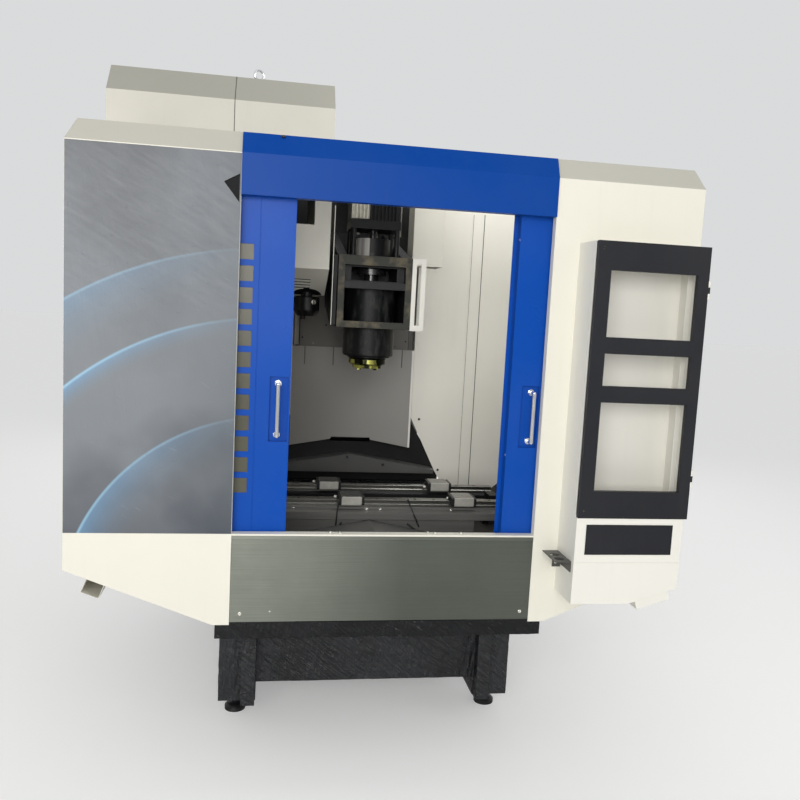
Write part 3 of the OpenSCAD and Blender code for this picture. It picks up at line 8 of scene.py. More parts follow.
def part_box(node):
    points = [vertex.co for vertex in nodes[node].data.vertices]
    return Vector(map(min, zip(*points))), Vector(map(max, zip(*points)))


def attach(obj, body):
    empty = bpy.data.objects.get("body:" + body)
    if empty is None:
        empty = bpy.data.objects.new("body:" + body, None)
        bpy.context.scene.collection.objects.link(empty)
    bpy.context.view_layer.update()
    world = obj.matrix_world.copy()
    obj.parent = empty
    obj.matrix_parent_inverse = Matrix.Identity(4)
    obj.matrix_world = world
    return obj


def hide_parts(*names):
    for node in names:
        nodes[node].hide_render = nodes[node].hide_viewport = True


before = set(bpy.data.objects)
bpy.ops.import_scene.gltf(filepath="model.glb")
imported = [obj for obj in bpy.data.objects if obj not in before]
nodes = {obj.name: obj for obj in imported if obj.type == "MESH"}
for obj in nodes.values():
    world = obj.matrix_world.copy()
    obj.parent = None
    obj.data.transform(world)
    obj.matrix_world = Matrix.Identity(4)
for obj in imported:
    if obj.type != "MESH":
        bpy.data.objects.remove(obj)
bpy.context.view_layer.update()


# The viewing place.
# A person at eye level stands a little left of the doors and looks slightly down into the machine.
# The three directions are the camera's right, up and forward in the machine's frame.
EYE = Vector((-0.411, -3.625, 1.590))
EYE_RIGHT = Vector((0.9863, -0.1565, 0.0517)).normalized()
EYE_FORWARD = Vector((0.1610, 0.9803, -0.1118)).normalized()
EYE_UP = EYE_RIGHT.cross(EYE_FORWARD).normalized()
EYE_RIGHT = EYE_FORWARD.cross(EYE_UP).normalized()
LENS = 36.0
FILM_WIDTH = 36.0
FAR_END = 200.0

camera_data = bpy.data.cameras.new("eye_camera")
camera_data.lens = LENS
camera_data.sensor_width = FILM_WIDTH
camera_data.clip_end = FAR_END
camera = bpy.data.objects.new("eye_camera", camera_data)
bpy.context.scene.collection.objects.link(camera)
turn = Matrix((EYE_RIGHT, EYE_UP, -EYE_FORWARD)).transposed().to_4x4()
camera.matrix_world = Matrix.Translation(EYE) @ turn
bpy.context.scene.camera = camera
bpy.context.scene.view_settings.view_transform = "Standard"


# The studio.
# A pale floor meets a pale backdrop of nearly its own tone. The light is soft and even from all round, with
# one large lamp behind the viewer, so that the inside of the machine is lit as well as its panels.
FLOOR_HALF = 60.0
FLOOR_Z = -0.0005
FLOOR_COLOUR = (0.83, 0.83, 0.82, 1.0)
FLOOR_SHADE = 0.98
FLOOR_GLOW = 0.25
BACKDROP_COLOUR = (0.70, 0.71, 0.715, 1.0)
WORLD_COLOUR = (0.98, 0.99, 1.0, 1.0)
WORLD_STRENGTH = 0.52
WHITE = (1.0, 1.0, 1.0, 1.0)


def link_mesh(name, build):
    """A new object from a bmesh that build() fills."""
    data = bpy.data.meshes.new(name)
    made = bmesh.new()
    build(made)
    bmesh.ops.recalc_face_normals(made, faces=made.faces)
    made.to_mesh(data)
    made.free()
    piece = bpy.data.objects.new(name, data)
    bpy.context.scene.collection.objects.link(piece)
    return piece


def floor_sheet(made):
    near, far = -FLOOR_HALF, FLOOR_HALF
    corners = ((near, near), (far, near), (far, far), (near, far))
    made.faces.new([made.verts.new((x, y, FLOOR_Z)) for x, y in corners])


def shader(name):
    """A new material, its node tree and its Principled shader."""
    material = bpy.data.materials.new(name)
    material.use_nodes = True
    tree = material.node_tree
    return material, tree, tree.nodes["Principled BSDF"]


def add_node(tree, kind, **sockets):
    """Adds a node to a tree and sets the named sockets."""
    node = tree.nodes.new(kind)
    for socket, value in sockets.items():
        node.inputs[socket.replace("_", " ")].default_value = value
    return node


floor = link_mesh("studio_floor", floor_sheet)
floor_paint, tree, surface = shader("studio_floor_paint")
surface.inputs["Roughness"].default_value = 0.8
surface.inputs["Emission Color"].default_value = WHITE
speckle = add_node(tree, "ShaderNodeTexNoise", Scale=1.2, Detail=5.0)
tone = add_node(tree, "ShaderNodeValToRGB")
tone.color_ramp.elements[0].color = [c * FLOOR_SHADE for c in FLOOR_COLOUR[:3]] + [1.0]
tone.color_ramp.elements[1].color = FLOOR_COLOUR
tree.links.new(speckle.outputs["Fac"], tone.inputs["Fac"])
tree.links.new(tone.outputs["Color"], surface.inputs["Base Color"])
floor_rays = add_node(tree, "ShaderNodeLightPath")
floor_glow = add_node(tree, "ShaderNodeMath")
floor_glow.operation = "MULTIPLY"
floor_glow.inputs[1].default_value = FLOOR_GLOW
tree.links.new(floor_rays.outputs["Is Camera Ray"], floor_glow.inputs[0])
tree.links.new(floor_glow.outputs[0], surface.inputs["Emission Strength"])
floor.data.materials.append(floor_paint)

world = bpy.data.worlds.new("studio_world")
bpy.context.scene.world = world
world.use_nodes = True
sky = world.node_tree
sky.nodes.clear()


def either(first, second):
    """One for a ray of the one kind or of the other."""
    larger = add_node(sky, "ShaderNodeMath")
    larger.operation = "MAXIMUM"
    sky.links.new(first, larger.inputs[0])
    sky.links.new(second, larger.inputs[1])
    return larger.outputs[0]


rays = add_node(sky, "ShaderNodeLightPath").outputs
seen = either(either(rays["Is Camera Ray"], rays["Is Glossy Ray"]), rays["Is Transmission Ray"])
backdrop = add_node(sky, "ShaderNodeBackground", Color=BACKDROP_COLOUR, Strength=1.0)
soft_light = add_node(sky, "ShaderNodeBackground", Color=WORLD_COLOUR, Strength=WORLD_STRENGTH)
choose = add_node(sky, "ShaderNodeMixShader")
world_out = add_node(sky, "ShaderNodeOutputWorld")
sky.links.new(seen, choose.inputs["Fac"])
sky.links.new(soft_light.outputs[0], choose.inputs[1])
sky.links.new(backdrop.outputs[0], choose.inputs[2])
sky.links.new(choose.outputs[0], world_out.inputs["Surface"])


def lamp(name, place, aim, size, power, colour=(1.0, 0.99, 0.97)):
    """A soft rectangular lamp at a place, turned to its aim."""
    data = bpy.data.lights.new(name, "AREA")
    data.shape = "RECTANGLE"
    data.size, data.size_y = size
    data.energy = power
    data.color = colour
    light = bpy.data.objects.new(name, data)
    bpy.context.scene.collection.objects.link(light)
    light.location = place
    light.rotation_euler = (Vector(aim) - Vector(place)).to_track_quat("-Z", "Y").to_euler()


lamp("front_lamp", (-1.6, -6.6, 2.5), aim=(0.0, -0.6, 1.2), size=(4.0, 2.6), power=198.0)
lamp("side_lamp", (4.8, -3.0, 2.4), aim=(0.4, -0.8, 1.2), size=(2.2, 2.4), power=25.0)
lamp("back_lamp", (1.0, 5.4, 3.0), aim=(0.0, 0.6, 1.2), size=(3.0, 2.2), power=45.0)
lamp("roof_lamp", (0.70, -0.62, 2.75), aim=(0.62, 0.375, 1.25), size=(0.7, 0.4), power=6.5)


# Painted sheet metal.
# The panels, walls and ducts are folded steel sheet with a baked white enamel. It has a faint orange-peel
# skin, softly broken edges, and the rub marks and dust of a workshop. The dust on upward faces is partly
# real dust and partly painted shade, which darkens the sloped top band.
EDGE_ROUND = 0.0012
SKIN_SOCKETS = {"Colour": ("NodeSocketColor", "Base Color"), "Roughness": ("NodeSocketFloat", "Roughness"),
                "Metallic": ("NodeSocketFloat", "Metallic"), "Normal": ("NodeSocketVector", "Normal")}
MIX_INPUTS = (0, 6, 7)
MIX_OUTPUT = 2


class Skin:
    """A shader node group for one kind of surface, made from a few common nodes.

    Its inputs are the colours and numbers that it is made with, and skin["Gloss"] reads the one of that name.
    """

    def __init__(self, name, outputs=("Colour", "Roughness", "Normal"), **inputs):
        self.group = bpy.data.node_groups.new(name, "ShaderNodeTree")
        sockets = self.group.interface
        for label, value in inputs.items():
            kind = "NodeSocketColor" if isinstance(value, tuple) else "NodeSocketFloat"
            sockets.new_socket(label, in_out="INPUT", socket_type=kind).default_value = value
        for label in outputs:
            sockets.new_socket(label, in_out="OUTPUT", socket_type=SKIN_SOCKETS[label][0])
        self.start = self.group.nodes.new("NodeGroupInput")
        self.end = self.group.nodes.new("NodeGroupOutput")

    def __getitem__(self, label):
        return self.start.outputs[label]

    def add(self, kind, **sockets):
        return add_node(self.group, kind, **sockets)

    def join(self, source, target):
        """Links a socket, or writes a plain value."""
        if hasattr(source, "links"):
            self.group.links.new(source, target)
        else:
            target.default_value = source

    def put(self, label, source):
        """Gives out a colour, value or normal under this name."""
        self.join(source, self.end.inputs[label])

    def parts(self, coordinates="Object"):
        """X, Y and Z of the object coordinates, or of the named ones."""
        split = self.add("ShaderNodeSeparateXYZ")
        self.join(self.add("ShaderNodeTexCoord").outputs[coordinates], split.inputs["Vector"])
        return split.outputs

    def mix(self, factor, first, second):
        """A colour between two. The node has more sockets of these names, so they are taken by number."""
        mixed = self.add("ShaderNodeMix")
        mixed.data_type = "RGBA"
        for number, source in zip(MIX_INPUTS, (factor, first, second)):
            self.join(source, mixed.inputs[number])
        return mixed.outputs[MIX_OUTPUT]

    def span(self, source, low, high, to_low, to_high):
        """source taken from low..high to to_low..to_high, and held at the ends."""
        ranged = self.add("ShaderNodeMapRange", From_Min=low, From_Max=high, To_Min=to_low, To_Max=to_high)
        self.join(source, ranged.inputs["Value"])
        return ranged.outputs["Result"]

    def maths(self, operation, first, second=0.0):
        step = self.add("ShaderNodeMath")
        step.operation = operation
        self.join(first, step.inputs[0])
        self.join(second, step.inputs[1])
        return step.outputs[0]

    def plus(self, first, second):
        return self.maths("ADD", first, second)

    def times(self, first, second):
        return self.maths("MULTIPLY", first, second)

    def over(self, first, second):
        """One where the first is greater than the second."""
        return self.maths("GREATER_THAN", first, second)

    def under(self, first, second):
        """One where the first is less than the second."""
        return self.maths("LESS_THAN", first, second)

    def cloud(self, scale, detail=5.0, rough=0.6, stretch=(1.0, 1.0, 1.0), lean=0.0):
        """Noise of this many lumps to the metre, leaned about the depth axis and stretched along the axes."""
        lumps = self.add("ShaderNodeTexNoise", Scale=scale, Detail=detail, Roughness=rough)
        place = self.add("ShaderNodeTexCoord")
        leaned = self.add("ShaderNodeMapping", Rotation=(0.0, lean, 0.0))
        stretched = self.add("ShaderNodeMapping", Scale=stretch)
        self.join(place.outputs["Object"], leaned.inputs["Vector"])
        self.join(leaned.outputs["Vector"], stretched.inputs["Vector"])
        self.join(stretched.outputs["Vector"], lumps.inputs["Vector"])
        return lumps.outputs["Fac"]

    def edges(self, radius):
        """The normal, with every edge softly broken."""
        bevel = self.add("ShaderNodeBevel", Radius=radius)
        bevel.samples = 4
        return bevel.outputs["Normal"]

    def bumped(self, height, normal, strength, distance):
        """The normal, tilted as if the surface rose with height by this distance."""
        bump = self.add("ShaderNodeBump", Distance=distance)
        self.join(strength, bump.inputs["Strength"])
        self.join(height, bump.inputs["Height"])
        self.join(normal, bump.inputs["Normal"])
        return bump.outputs["Normal"]


enamel = Skin("enamel_skin", Colour=(0.8, 0.8, 0.8, 1), Gloss=0.35, Marks=0.5, Peel=0.25, Dust=0.0)
# Upward faces turn darker: partly settled dust, partly painted shade.
settled_dust_and_shade = enamel.times(enamel.span(enamel.parts("Normal")["Z"], 0.2, 0.4, 0.0, 1.0), enamel["Dust"])
cloudy = enamel.cloud(2.2, 6.0)
runs = enamel.cloud(1.0, 5.0, 0.65, (26.0, 26.0, 1.6))
cloud_mask = enamel.times(enamel.span(cloudy, 0.42, 0.72, 0.0, 0.16), enamel["Marks"])
run_mask = enamel.times(enamel.span(runs, 0.55, 0.80, 0.0, 0.14), enamel["Marks"])
toned = enamel.mix(cloud_mask, enamel["Colour"], (0.34, 0.33, 0.30, 1))
toned = enamel.mix(run_mask, toned, (0.22, 0.21, 0.19, 1))
enamel.put("Colour", enamel.mix(settled_dust_and_shade, toned, (0.33, 0.325, 0.28, 1)))
enamel.put("Roughness", enamel.plus(enamel["Gloss"], enamel.span(cloudy, 0.3, 0.7, -0.05, 0.10)))
orange_peel = enamel.cloud(420.0, 2.0)
enamel.put("Normal", enamel.bumped(orange_peel, enamel.edges(EDGE_ROUND), enamel["Peel"], 0.0002))


def dressed(name, skin, specular=0.5, metallic=0.0, anisotropic=0.0, **values):
    """A material in one skin, with values for the shader and for the skin's own inputs."""
    material, tree, surface = shader(name)
    surface.inputs["Specular IOR Level"].default_value = specular
    surface.inputs["Metallic"].default_value = metallic
    surface.inputs["Anisotropic"].default_value = anisotropic
    worn = tree.nodes.new("ShaderNodeGroup")
    worn.node_tree = skin.group
    for label, value in values.items():
        worn.inputs[label].default_value = value
    for output in worn.outputs:
        tree.links.new(output, surface.inputs[SKIN_SOCKETS[output.name][1]])
    return material


def srgb(red, green, blue):
    """A screen colour of 0 to 255, as the linear colour that a shader takes."""
    def one(value):
        value /= 255.0
        return value / 12.92 if value <= 0.04045 else ((value + 0.055) / 1.055) ** 2.4
    return (one(red), one(green), one(blue), 1.0)


def coat(material, *names):
    """Gives these machine pieces the material all over."""
    for name in names:
        data = nodes[name].data
        data.materials.clear()
        data.materials.append(material)


# Its dust on upward faces is partly painted shade.
white_enamel = dressed("white_enamel", enamel, specular=0.3,
                       Colour=srgb(238, 235, 222), Gloss=0.38, Marks=0.3, Peel=0.22, Dust=0.62)
coat(white_enamel, "front_panel_left", "front_panel_right", "cable_duct")
cabinet_grey = dressed("cabinet_grey", enamel, specular=0.3,
                       Colour=srgb(118, 119, 117), Gloss=0.38, Marks=0.3, Peel=0.22)
coat(cabinet_grey, "cabinet_box", "cabinet_door")
wall_enamel = dressed("wall_enamel", enamel, Colour=srgb(250, 247, 236), Gloss=0.34, Marks=0.3, Peel=0.22)
coat(wall_enamel, "enclosure_walls")


# Seams of the rear wall.
# The rear wall is made of three sheets. Narrow folded laps cover their two joints and stand a little proud of
# the wall.
WALL_Y = 0.3755
SHADOW_Y = 0.3738
LAP_Y = 0.3728
SEAM_FOOT_Z = 0.700
LEFT_SEAM_Z = 2.083
LEFT_LAP_X = (0.5690, 0.5735)
LEFT_SHADOW_X = (0.5735, 0.5755)
RIGHT_SEAM_Z = 2.086
RIGHT_SHADOW_X = (0.6295, 0.6330)
RIGHT_LAP_X = (0.6330, 0.6375)


def fitted(name, body, material, build):
    """Makes a piece of one material that moves with one body."""
    piece = link_mesh(name, build)
    piece.data.materials.append(material)
    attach(piece, body)


def strips(name, body, material, blocks):
    """Thin straight strips between opposite corners, joined in one piece."""
    def fill(made):
        for low, high in blocks:
            for v in bmesh.ops.create_cube(made, size=1.0)["verts"]:
                v.co = Vector([(a + b) / 2 + c * (b - a) for a, b, c in zip(low, high, v.co)])

    fitted(name, body, material, fill)


def seam(sides, front_y, top_z):
    """The opposite corners of an upright strip on the rear wall."""
    return (sides[0], front_y, SEAM_FOOT_Z), (sides[1], WALL_Y, top_z)


seam_dark = dressed("seam_dark", enamel, Colour=srgb(74, 73, 68), Gloss=0.5, Marks=0.2)
seam_pale = dressed("seam_pale", enamel, Colour=srgb(250, 247, 236), Gloss=0.34, Marks=0.2)
strips("wall_joint_shadows", "machine", seam_dark,
       [seam(LEFT_SHADOW_X, SHADOW_Y, LEFT_SEAM_Z), seam(RIGHT_SHADOW_X, SHADOW_Y, RIGHT_SEAM_Z)])
strips("wall_laps", "machine", seam_pale,
       [seam(LEFT_LAP_X, LAP_Y, LEFT_SEAM_Z), seam(RIGHT_LAP_X, LAP_Y, RIGHT_SEAM_Z)])


# Lifting tab on the right panel.
# The end of a lifting tab stands a little above the panel's top band: a small steel plate with slanted ends,
# enamelled with the panel. Its foot is sunk in the band.
TAB_X = 0.930
TAB_Y = -0.950
TAB_Z = 2.119
TAB_HALF = 0.021
TAB_TOP_HALF = TAB_HALF * 0.75
TAB_THICK = 0.003
TAB_SUNK = 0.004
TAB_PROUD = 0.0015


def prism(name, body, material, corners, depth):
    """A flat plate with these corners, drawn out along one direction."""
    def fill(made):
        front = [made.verts.new(Vector(corner)) for corner in corners]
        back = [made.verts.new(Vector(corner) + Vector(depth)) for corner in corners]
        made.faces.new(front)
        made.faces.new(list(reversed(back)))
        for i in range(len(corners)):
            j = (i + 1) % len(corners)
            made.faces.new((front[i], front[j], back[j], back[i]))

    fitted(name, body, material, fill)


tab_outline = [(-TAB_HALF, -TAB_SUNK), (TAB_HALF, -TAB_SUNK),
               (TAB_TOP_HALF, TAB_PROUD), (-TAB_TOP_HALF, TAB_PROUD)]
prism("lifting_tab", "machine", white_enamel,
      [(TAB_X + x, TAB_Y - TAB_THICK / 2, TAB_Z + z) for x, z in tab_outline], (0.0, TAB_THICK, 0.0))


# Printed film on the left panel.
# A grey vinyl film covers the left panel, with small creases and bubbles from its laying. Its print is a
# plain fan of three soft arcs in pale blue, which rise from the left edge and fade to the right.
FILM_LEFT_X = -1.05
FILM_DARK_X = -0.80
FILM_RIGHT_X = -0.52
FILM_FOOT_Z = 0.82
FILM_TOP_Z = 2.05
FAN_X = -0.40
FAN_Z = 0.56
FAN_END_X = -0.56
FAN_ARCS = ((0.66, 0.16, 0.60), (0.98, 0.07, 0.70), (1.20, 0.20, 0.34))
ARC_POWER = 2.2
ARC_EDGE = 0.006
ARC_LINE = 0.007
ARC_REMAINS = 0.12

film = Skin("film_print", Upper=(0.2, 0.2, 0.2, 1), Lower=(0.2, 0.2, 0.2, 1), Arc=(0.2, 0.5, 0.8, 1),
            Creases=0.5)
place = film.parts()
across = film.maths("SUBTRACT", place["X"], FAN_X)
above = film.maths("SUBTRACT", place["Z"], FAN_Z)
reach = film.maths("SQRT", film.plus(film.times(across, across), film.times(above, above)))
ground_mist = film.span(film.cloud(1.6, 4.0, 0.5), 0.35, 0.65, -0.22, 0.22)
rise = film.plus(film.span(place["Z"], FILM_FOOT_Z, FILM_TOP_Z, 0.0, 1.0), ground_mist)
toned = film.mix(film.span(rise, 0.0, 0.45, 0.0, 1.0), film["Lower"], (0.215, 0.232, 0.252, 1))
toned = film.mix(film.span(rise, 0.55, 1.05, 0.0, 1.0), toned, film["Upper"])
toned = film.mix(film.span(place["X"], FILM_DARK_X, FILM_RIGHT_X, 0.0, 0.45), toned, (0.10, 0.115, 0.13, 1))
for radius, width, strength in FAN_ARCS:
    tail = film.span(reach, radius - width, radius, 0.0, 1.0)
    edge = film.span(reach, radius, radius + ARC_EDGE, 1.0, 0.0)
    fade = film.span(place["X"], FILM_LEFT_X, FAN_END_X, strength, strength * ARC_REMAINS)
    ribbon = film.times(film.times(film.maths("POWER", tail, ARC_POWER), edge), fade)
    toned = film.mix(ribbon, toned, film["Arc"])
    line = film.times(film.span(reach, radius - ARC_LINE, radius, 0.0, 1.0), edge)
    toned = film.mix(film.times(line, fade), toned, (0.42, 0.66, 0.80, 1))
creases = film.cloud(1.0, 6.0, 0.6, (22.0, 22.0, 2.6), 0.15)
bubbles = film.cloud(46.0, 3.0, 0.5)
scuffs = film.cloud(1.0, 7.0, 0.7, (9.0, 9.0, 60.0), -0.5)
toned = film.mix(film.span(scuffs, 0.62, 0.78, 0.0, 0.28), toned, (0.52, 0.54, 0.55, 1))
film.put("Colour", film.mix(film.span(creases, 0.60, 0.80, 0.0, 0.30), toned, (0.16, 0.16, 0.17, 1)))
film.put("Roughness", film.span(scuffs, 0.3, 0.7, 0.30, 0.46))
folded = film.bumped(creases, film.edges(0.0004), film["Creases"], 0.004)
film.put("Normal", film.bumped(film.span(bubbles, 0.64, 0.76, 0.0, 1.0), folded, 0.35, 0.0012))

film_vinyl = dressed("film_vinyl", film, specular=0.35,
                     Upper=srgb(98, 101, 106), Lower=srgb(58, 63, 74), Arc=srgb(112, 166, 208), Creases=0.35)
coat(film_vinyl, "graphic_film")


# Painted shadow in the corner notch.
# A thin black plate closes the triangular notch in the film's right edge from behind. It stands for the
# shade inside the notch: a painted shadow.
NOTCH_SHADOW_Y = -0.9978
NOTCH_SHADOW_THICK = 0.0012
NOTCH_TIP_X = -0.5725
NOTCH_TIP_Z = 1.9610
NOTCH_EDGE_X = -0.5212
NOTCH_TOP_Z = 1.9905
NOTCH_FOOT_Z = 1.8930

notch_shadow_black = dressed("notch_shadow_black", enamel, specular=0.2, Colour=srgb(16, 17, 20), Gloss=0.6, Marks=0.1)
prism("notch_shadow_plate", "machine", notch_shadow_black,
      [(NOTCH_TIP_X, NOTCH_SHADOW_Y, NOTCH_TIP_Z), (NOTCH_EDGE_X, NOTCH_SHADOW_Y, NOTCH_TOP_Z),
       (NOTCH_EDGE_X, NOTCH_SHADOW_Y, NOTCH_FOOT_Z)], (0.0, NOTCH_SHADOW_THICK, 0.0))


# Header beam and sliding doors.
# The beam over the opening and the two doors are folded steel in a glossy blue enamel. Each door is a pan
# with a grid of square windows and a hazy clear sheet behind them.
beam_blue = dressed("beam_blue_enamel", enamel, specular=0.12,
                    Colour=srgb(0, 66, 152), Gloss=0.34, Marks=0.12, Peel=0.3)
coat(beam_blue, "header_beam")
door_blue = dressed("door_blue_enamel", enamel, specular=0.16,
                    Colour=srgb(0, 74, 172), Gloss=0.30, Marks=0.12, Peel=0.3)
coat(door_blue, "left_door_panel", "right_door_panel")

clear_sheet, tree, surface = shader("clear_sheet")
surface.inputs["Base Color"].default_value = srgb(122, 120, 104)
surface.inputs["Transmission Weight"].default_value = 0.5
surface.inputs["IOR"].default_value = 1.35
haze = add_node(tree, "ShaderNodeTexNoise", Scale=7.0, Detail=4.0)
frost = add_node(tree, "ShaderNodeMapRange", To_Min=0.12, To_Max=0.34)
tree.links.new(haze.outputs["Fac"], frost.inputs["Value"])
tree.links.new(frost.outputs["Result"], surface.inputs["Roughness"])
coat(clear_sheet, "left_door_window", "right_door_window")


# Door handles and the eye bolt.
# Each handle is a chromed steel bar on two stand-offs. The eye bolt is a forged and plated lifting eye on
# the magazine's roof.
polish = Skin("polish_skin", Colour=(0.8, 0.8, 0.8, 1), Gloss=0.12)
smear = polish.cloud(30.0, 5.0, 0.6, (1.0, 1.0, 0.4))
smeared = polish.span(smear, 0.5, 0.8, 0.0, 0.25)
polish.put("Colour", polish.mix(smeared, polish["Colour"], (0.25, 0.24, 0.22, 1)))
polish.put("Roughness", polish.plus(polish["Gloss"], polish.span(smear, 0.35, 0.75, 0.0, 0.14)))
polish.put("Normal", polish.edges(0.0008))

chrome = dressed("bar_chrome", polish, metallic=1.0, Colour=srgb(232, 234, 236), Gloss=0.10)
coat(chrome, "left_door_handle", "right_door_handle", "eye_bolt")


# Screws and rivets.
# Small plated machine screws hold the covers, the walls and the door pans, pulled down onto their sheets.
# Their heads are domed, with the sockets as round recesses.
UP = (0, 0, 1)
TO_FRONT = (0, -1, 0)
TO_LEFT = (-1, 0, 0)
UP_THE_BEAM = (0.0, -0.42, 0.91)
OUT_OF_HUB = (0.51, -0.86, 0)
HEAD_STEPS = 18
HEAD_RINGS = ((1.0, -0.15), (1.0, 0.45), (0.94, 0.72), (0.78, 0.92), (0.58, 1.0), (0.52, 0.96), (0.48, 0.35))
REAR_SCREW_Y = 0.375
GUARD_Y = 0.3743
SILL_Z = 0.827
RIGHT_DOOR_X = 0.412
LEDGE_Z = 0.773

zinc = dressed("bright_zinc", polish, metallic=0.85, Colour=srgb(225, 224, 214), Gloss=0.22)
black_screw = dressed("black_screw", polish, Colour=srgb(30, 30, 32), Gloss=0.35)


def screws(name, body, material, facing, places, radius, height):
    """Domed socket heads of one size, all facing one way, joined in one piece."""
    turned = Vector(UP).rotation_difference(Vector(facing)).to_matrix()

    def ring(made, place, share, level):
        points = []
        for i in range(HEAD_STEPS):
            angle = 2 * math.pi * i / HEAD_STEPS
            x = math.cos(angle) * share * radius
            y = math.sin(angle) * share * radius
            points.append(made.verts.new(Vector(place) + turned @ Vector((x, y, level * height))))
        return points

    def heads(made):
        for place in places:
            rings = [ring(made, place, share, level) for share, level in HEAD_RINGS]
            for low, high in zip(rings, rings[1:]):
                for i in range(HEAD_STEPS):
                    j = (i + 1) % HEAD_STEPS
                    made.faces.new((low[i], low[j], high[j], high[i])).smooth = True
            made.faces.new(rings[-1])
            made.faces.new(list(reversed(rings[0])))

    fitted(name, body, material, heads)


screws("header_screws", "machine", black_screw, UP_THE_BEAM, [(-0.394, -0.978, 2.1153)],
       radius=0.007, height=0.005)
screws("rear_wall_screws", "machine", black_screw, TO_FRONT,
       [(0.3494, REAR_SCREW_Y, 1.0381), (0.4622, REAR_SCREW_Y, 0.7757)], radius=0.006, height=0.004)
screws("rear_guard_screws", "machine", black_screw, TO_FRONT,
       [(-0.0113, GUARD_Y, 0.8333), (0.1740, GUARD_Y, 0.7984)], radius=0.007, height=0.004)
screws("sill_screws", "machine", zinc, UP,
       [(-0.192, -0.976, SILL_Z), (-0.160, -0.980, SILL_Z), (0.146, -0.974, SILL_Z), (0.170, -0.980, SILL_Z),
        (0.2636, -0.9763, SILL_Z)], radius=0.007, height=0.004)
screws("right_door_rivets", "right_door", zinc, TO_LEFT,
       [(RIGHT_DOOR_X, -0.9497, 1.1039), (RIGHT_DOOR_X, -0.952, 1.8473)], radius=0.0045, height=0.0012)
screws("saddle_ledge_screws", "saddle", zinc, UP,
       [(-0.3018, -0.4413, LEDGE_Z), (-0.0043, -0.4497, LEDGE_Z), (0.0514, -0.4525, LEDGE_Z),
        (0.3498, -0.4467, LEDGE_Z)], radius=0.0085, height=0.006)
screws("hub_cap", "changer", zinc, OUT_OF_HUB, [(-0.2421, -0.2389, 1.6036)], radius=0.011, height=0.004)


# Brushed apron.
# The apron under the doors is stainless sheet, brushed lengthways, with the smears that cleaning leaves.
# It darkens towards the right: a painted reflection of dark surroundings.
BRUSHED_ALONG_X = (3.0, 300.0, 420.0)
BRUSHED_ALONG_Y = (300.0, 4.0, 300.0)
BRUSHED_ALONG_Z = (300.0, 300.0, 4.0)
BRUSHED_DARK = (0.13, 0.13, 0.12, 1)
DARK_REFLECTION_COLOUR = (0.06, 0.07, 0.058, 1)
DARK_REFLECTION_FROM_X = -0.42
DARK_REFLECTION_TO_X = 0.06
APRON_Y = -1.0002


def brushed(name, stretch):
    """A skin of fine parallel scratches along one axis, darkened to the right by a painted reflection."""
    skin = Skin(name, Colour=(0.5, 0.5, 0.5, 1), Gloss=0.3, Depth=0.3, Tarnish=0.0)
    # Darker towards the right: a painted reflection of dark surroundings.
    to_right = skin.span(skin.parts()["X"], DARK_REFLECTION_FROM_X, DARK_REFLECTION_TO_X, 0.0, 1.0)
    dark_reflection_mask = skin.times(to_right, skin["Tarnish"])
    hairs = skin.cloud(1.0, 4.0, 0.7, stretch)
    lined = skin.mix(skin.span(hairs, 0.35, 0.7, 0.0, 0.30), skin["Colour"], BRUSHED_DARK)
    lined = skin.mix(skin.span(skin.cloud(3.0), 0.40, 0.72, 0.0, 0.28), lined, (0.09, 0.09, 0.085, 1))
    skin.put("Colour", skin.mix(dark_reflection_mask, lined, DARK_REFLECTION_COLOUR))
    skin.put("Roughness", skin.plus(skin["Gloss"], skin.span(hairs, 0.3, 0.7, -0.06, 0.12)))
    skin.put("Normal", skin.bumped(hairs, skin.edges(0.001), skin["Depth"], 0.0002))
    return skin


lengthways = brushed("brushed_lengthways", BRUSHED_ALONG_X)
upright = brushed("brushed_upright", BRUSHED_ALONG_Z)
inwards = brushed("brushed_inwards", BRUSHED_ALONG_Y)

apron_steel = dressed("apron_stainless", lengthways, metallic=0.85, anisotropic=0.5,
                      Colour=srgb(154, 158, 147), Gloss=0.34, Depth=0.35, Tarnish=0.72)
coat(apron_steel, "apron_panel")
screws("apron_screws", "machine", zinc, TO_FRONT, [(-0.4858, APRON_Y, 0.5527), (0.4876, APRON_Y, 0.5525)],
       radius=0.0068, height=0.0035)
screws("apron_rivet", "machine", zinc, TO_FRONT, [(-0.3869, APRON_Y, 0.5602)], radius=0.0032, height=0.002)


# Door sill.
# The sill under the doors is a white enamelled fold. Its front flange is faced with the apron's brushed
# steel, up to a narrow white lip. The steel darkens to the right with the apron's painted reflection.
SILL_FACE_Y = -0.9985
SILL_LIP_Z = 0.8212

sill = Skin("sill_skin", outputs=("Colour", "Roughness", "Metallic", "Normal"),
            White=(0.8, 0.8, 0.8, 1), Steel=(0.2, 0.2, 0.2, 1), Gloss=0.38)
place = sill.parts()
faced = sill.times(sill.under(place["Y"], SILL_FACE_Y), sill.under(place["Z"], SILL_LIP_Z))
hairs = sill.cloud(1.0, 4.0, 0.7, BRUSHED_ALONG_X)
# The sill's steel face darkens to the right as well: painted reflection.
dark_reflection_mask = sill.span(place["X"], DARK_REFLECTION_FROM_X, DARK_REFLECTION_TO_X, 0.0, 0.6)
steel = sill.mix(sill.span(hairs, 0.35, 0.7, 0.0, 0.30), sill["Steel"], BRUSHED_DARK)
steel = sill.mix(dark_reflection_mask, steel, DARK_REFLECTION_COLOUR)
sill.put("Colour", sill.mix(faced, sill["White"], steel))
sill.put("Roughness", sill.plus(sill["Gloss"], sill.span(hairs, 0.3, 0.7, -0.04, 0.08)))
sill.put("Metallic", sill.times(faced, 0.85))
sill.put("Normal", sill.edges(0.001))

sill_finish = dressed("sill_finish", sill, White=srgb(238, 235, 222), Steel=srgb(150, 154, 144))
coat(sill_finish, "door_sill")


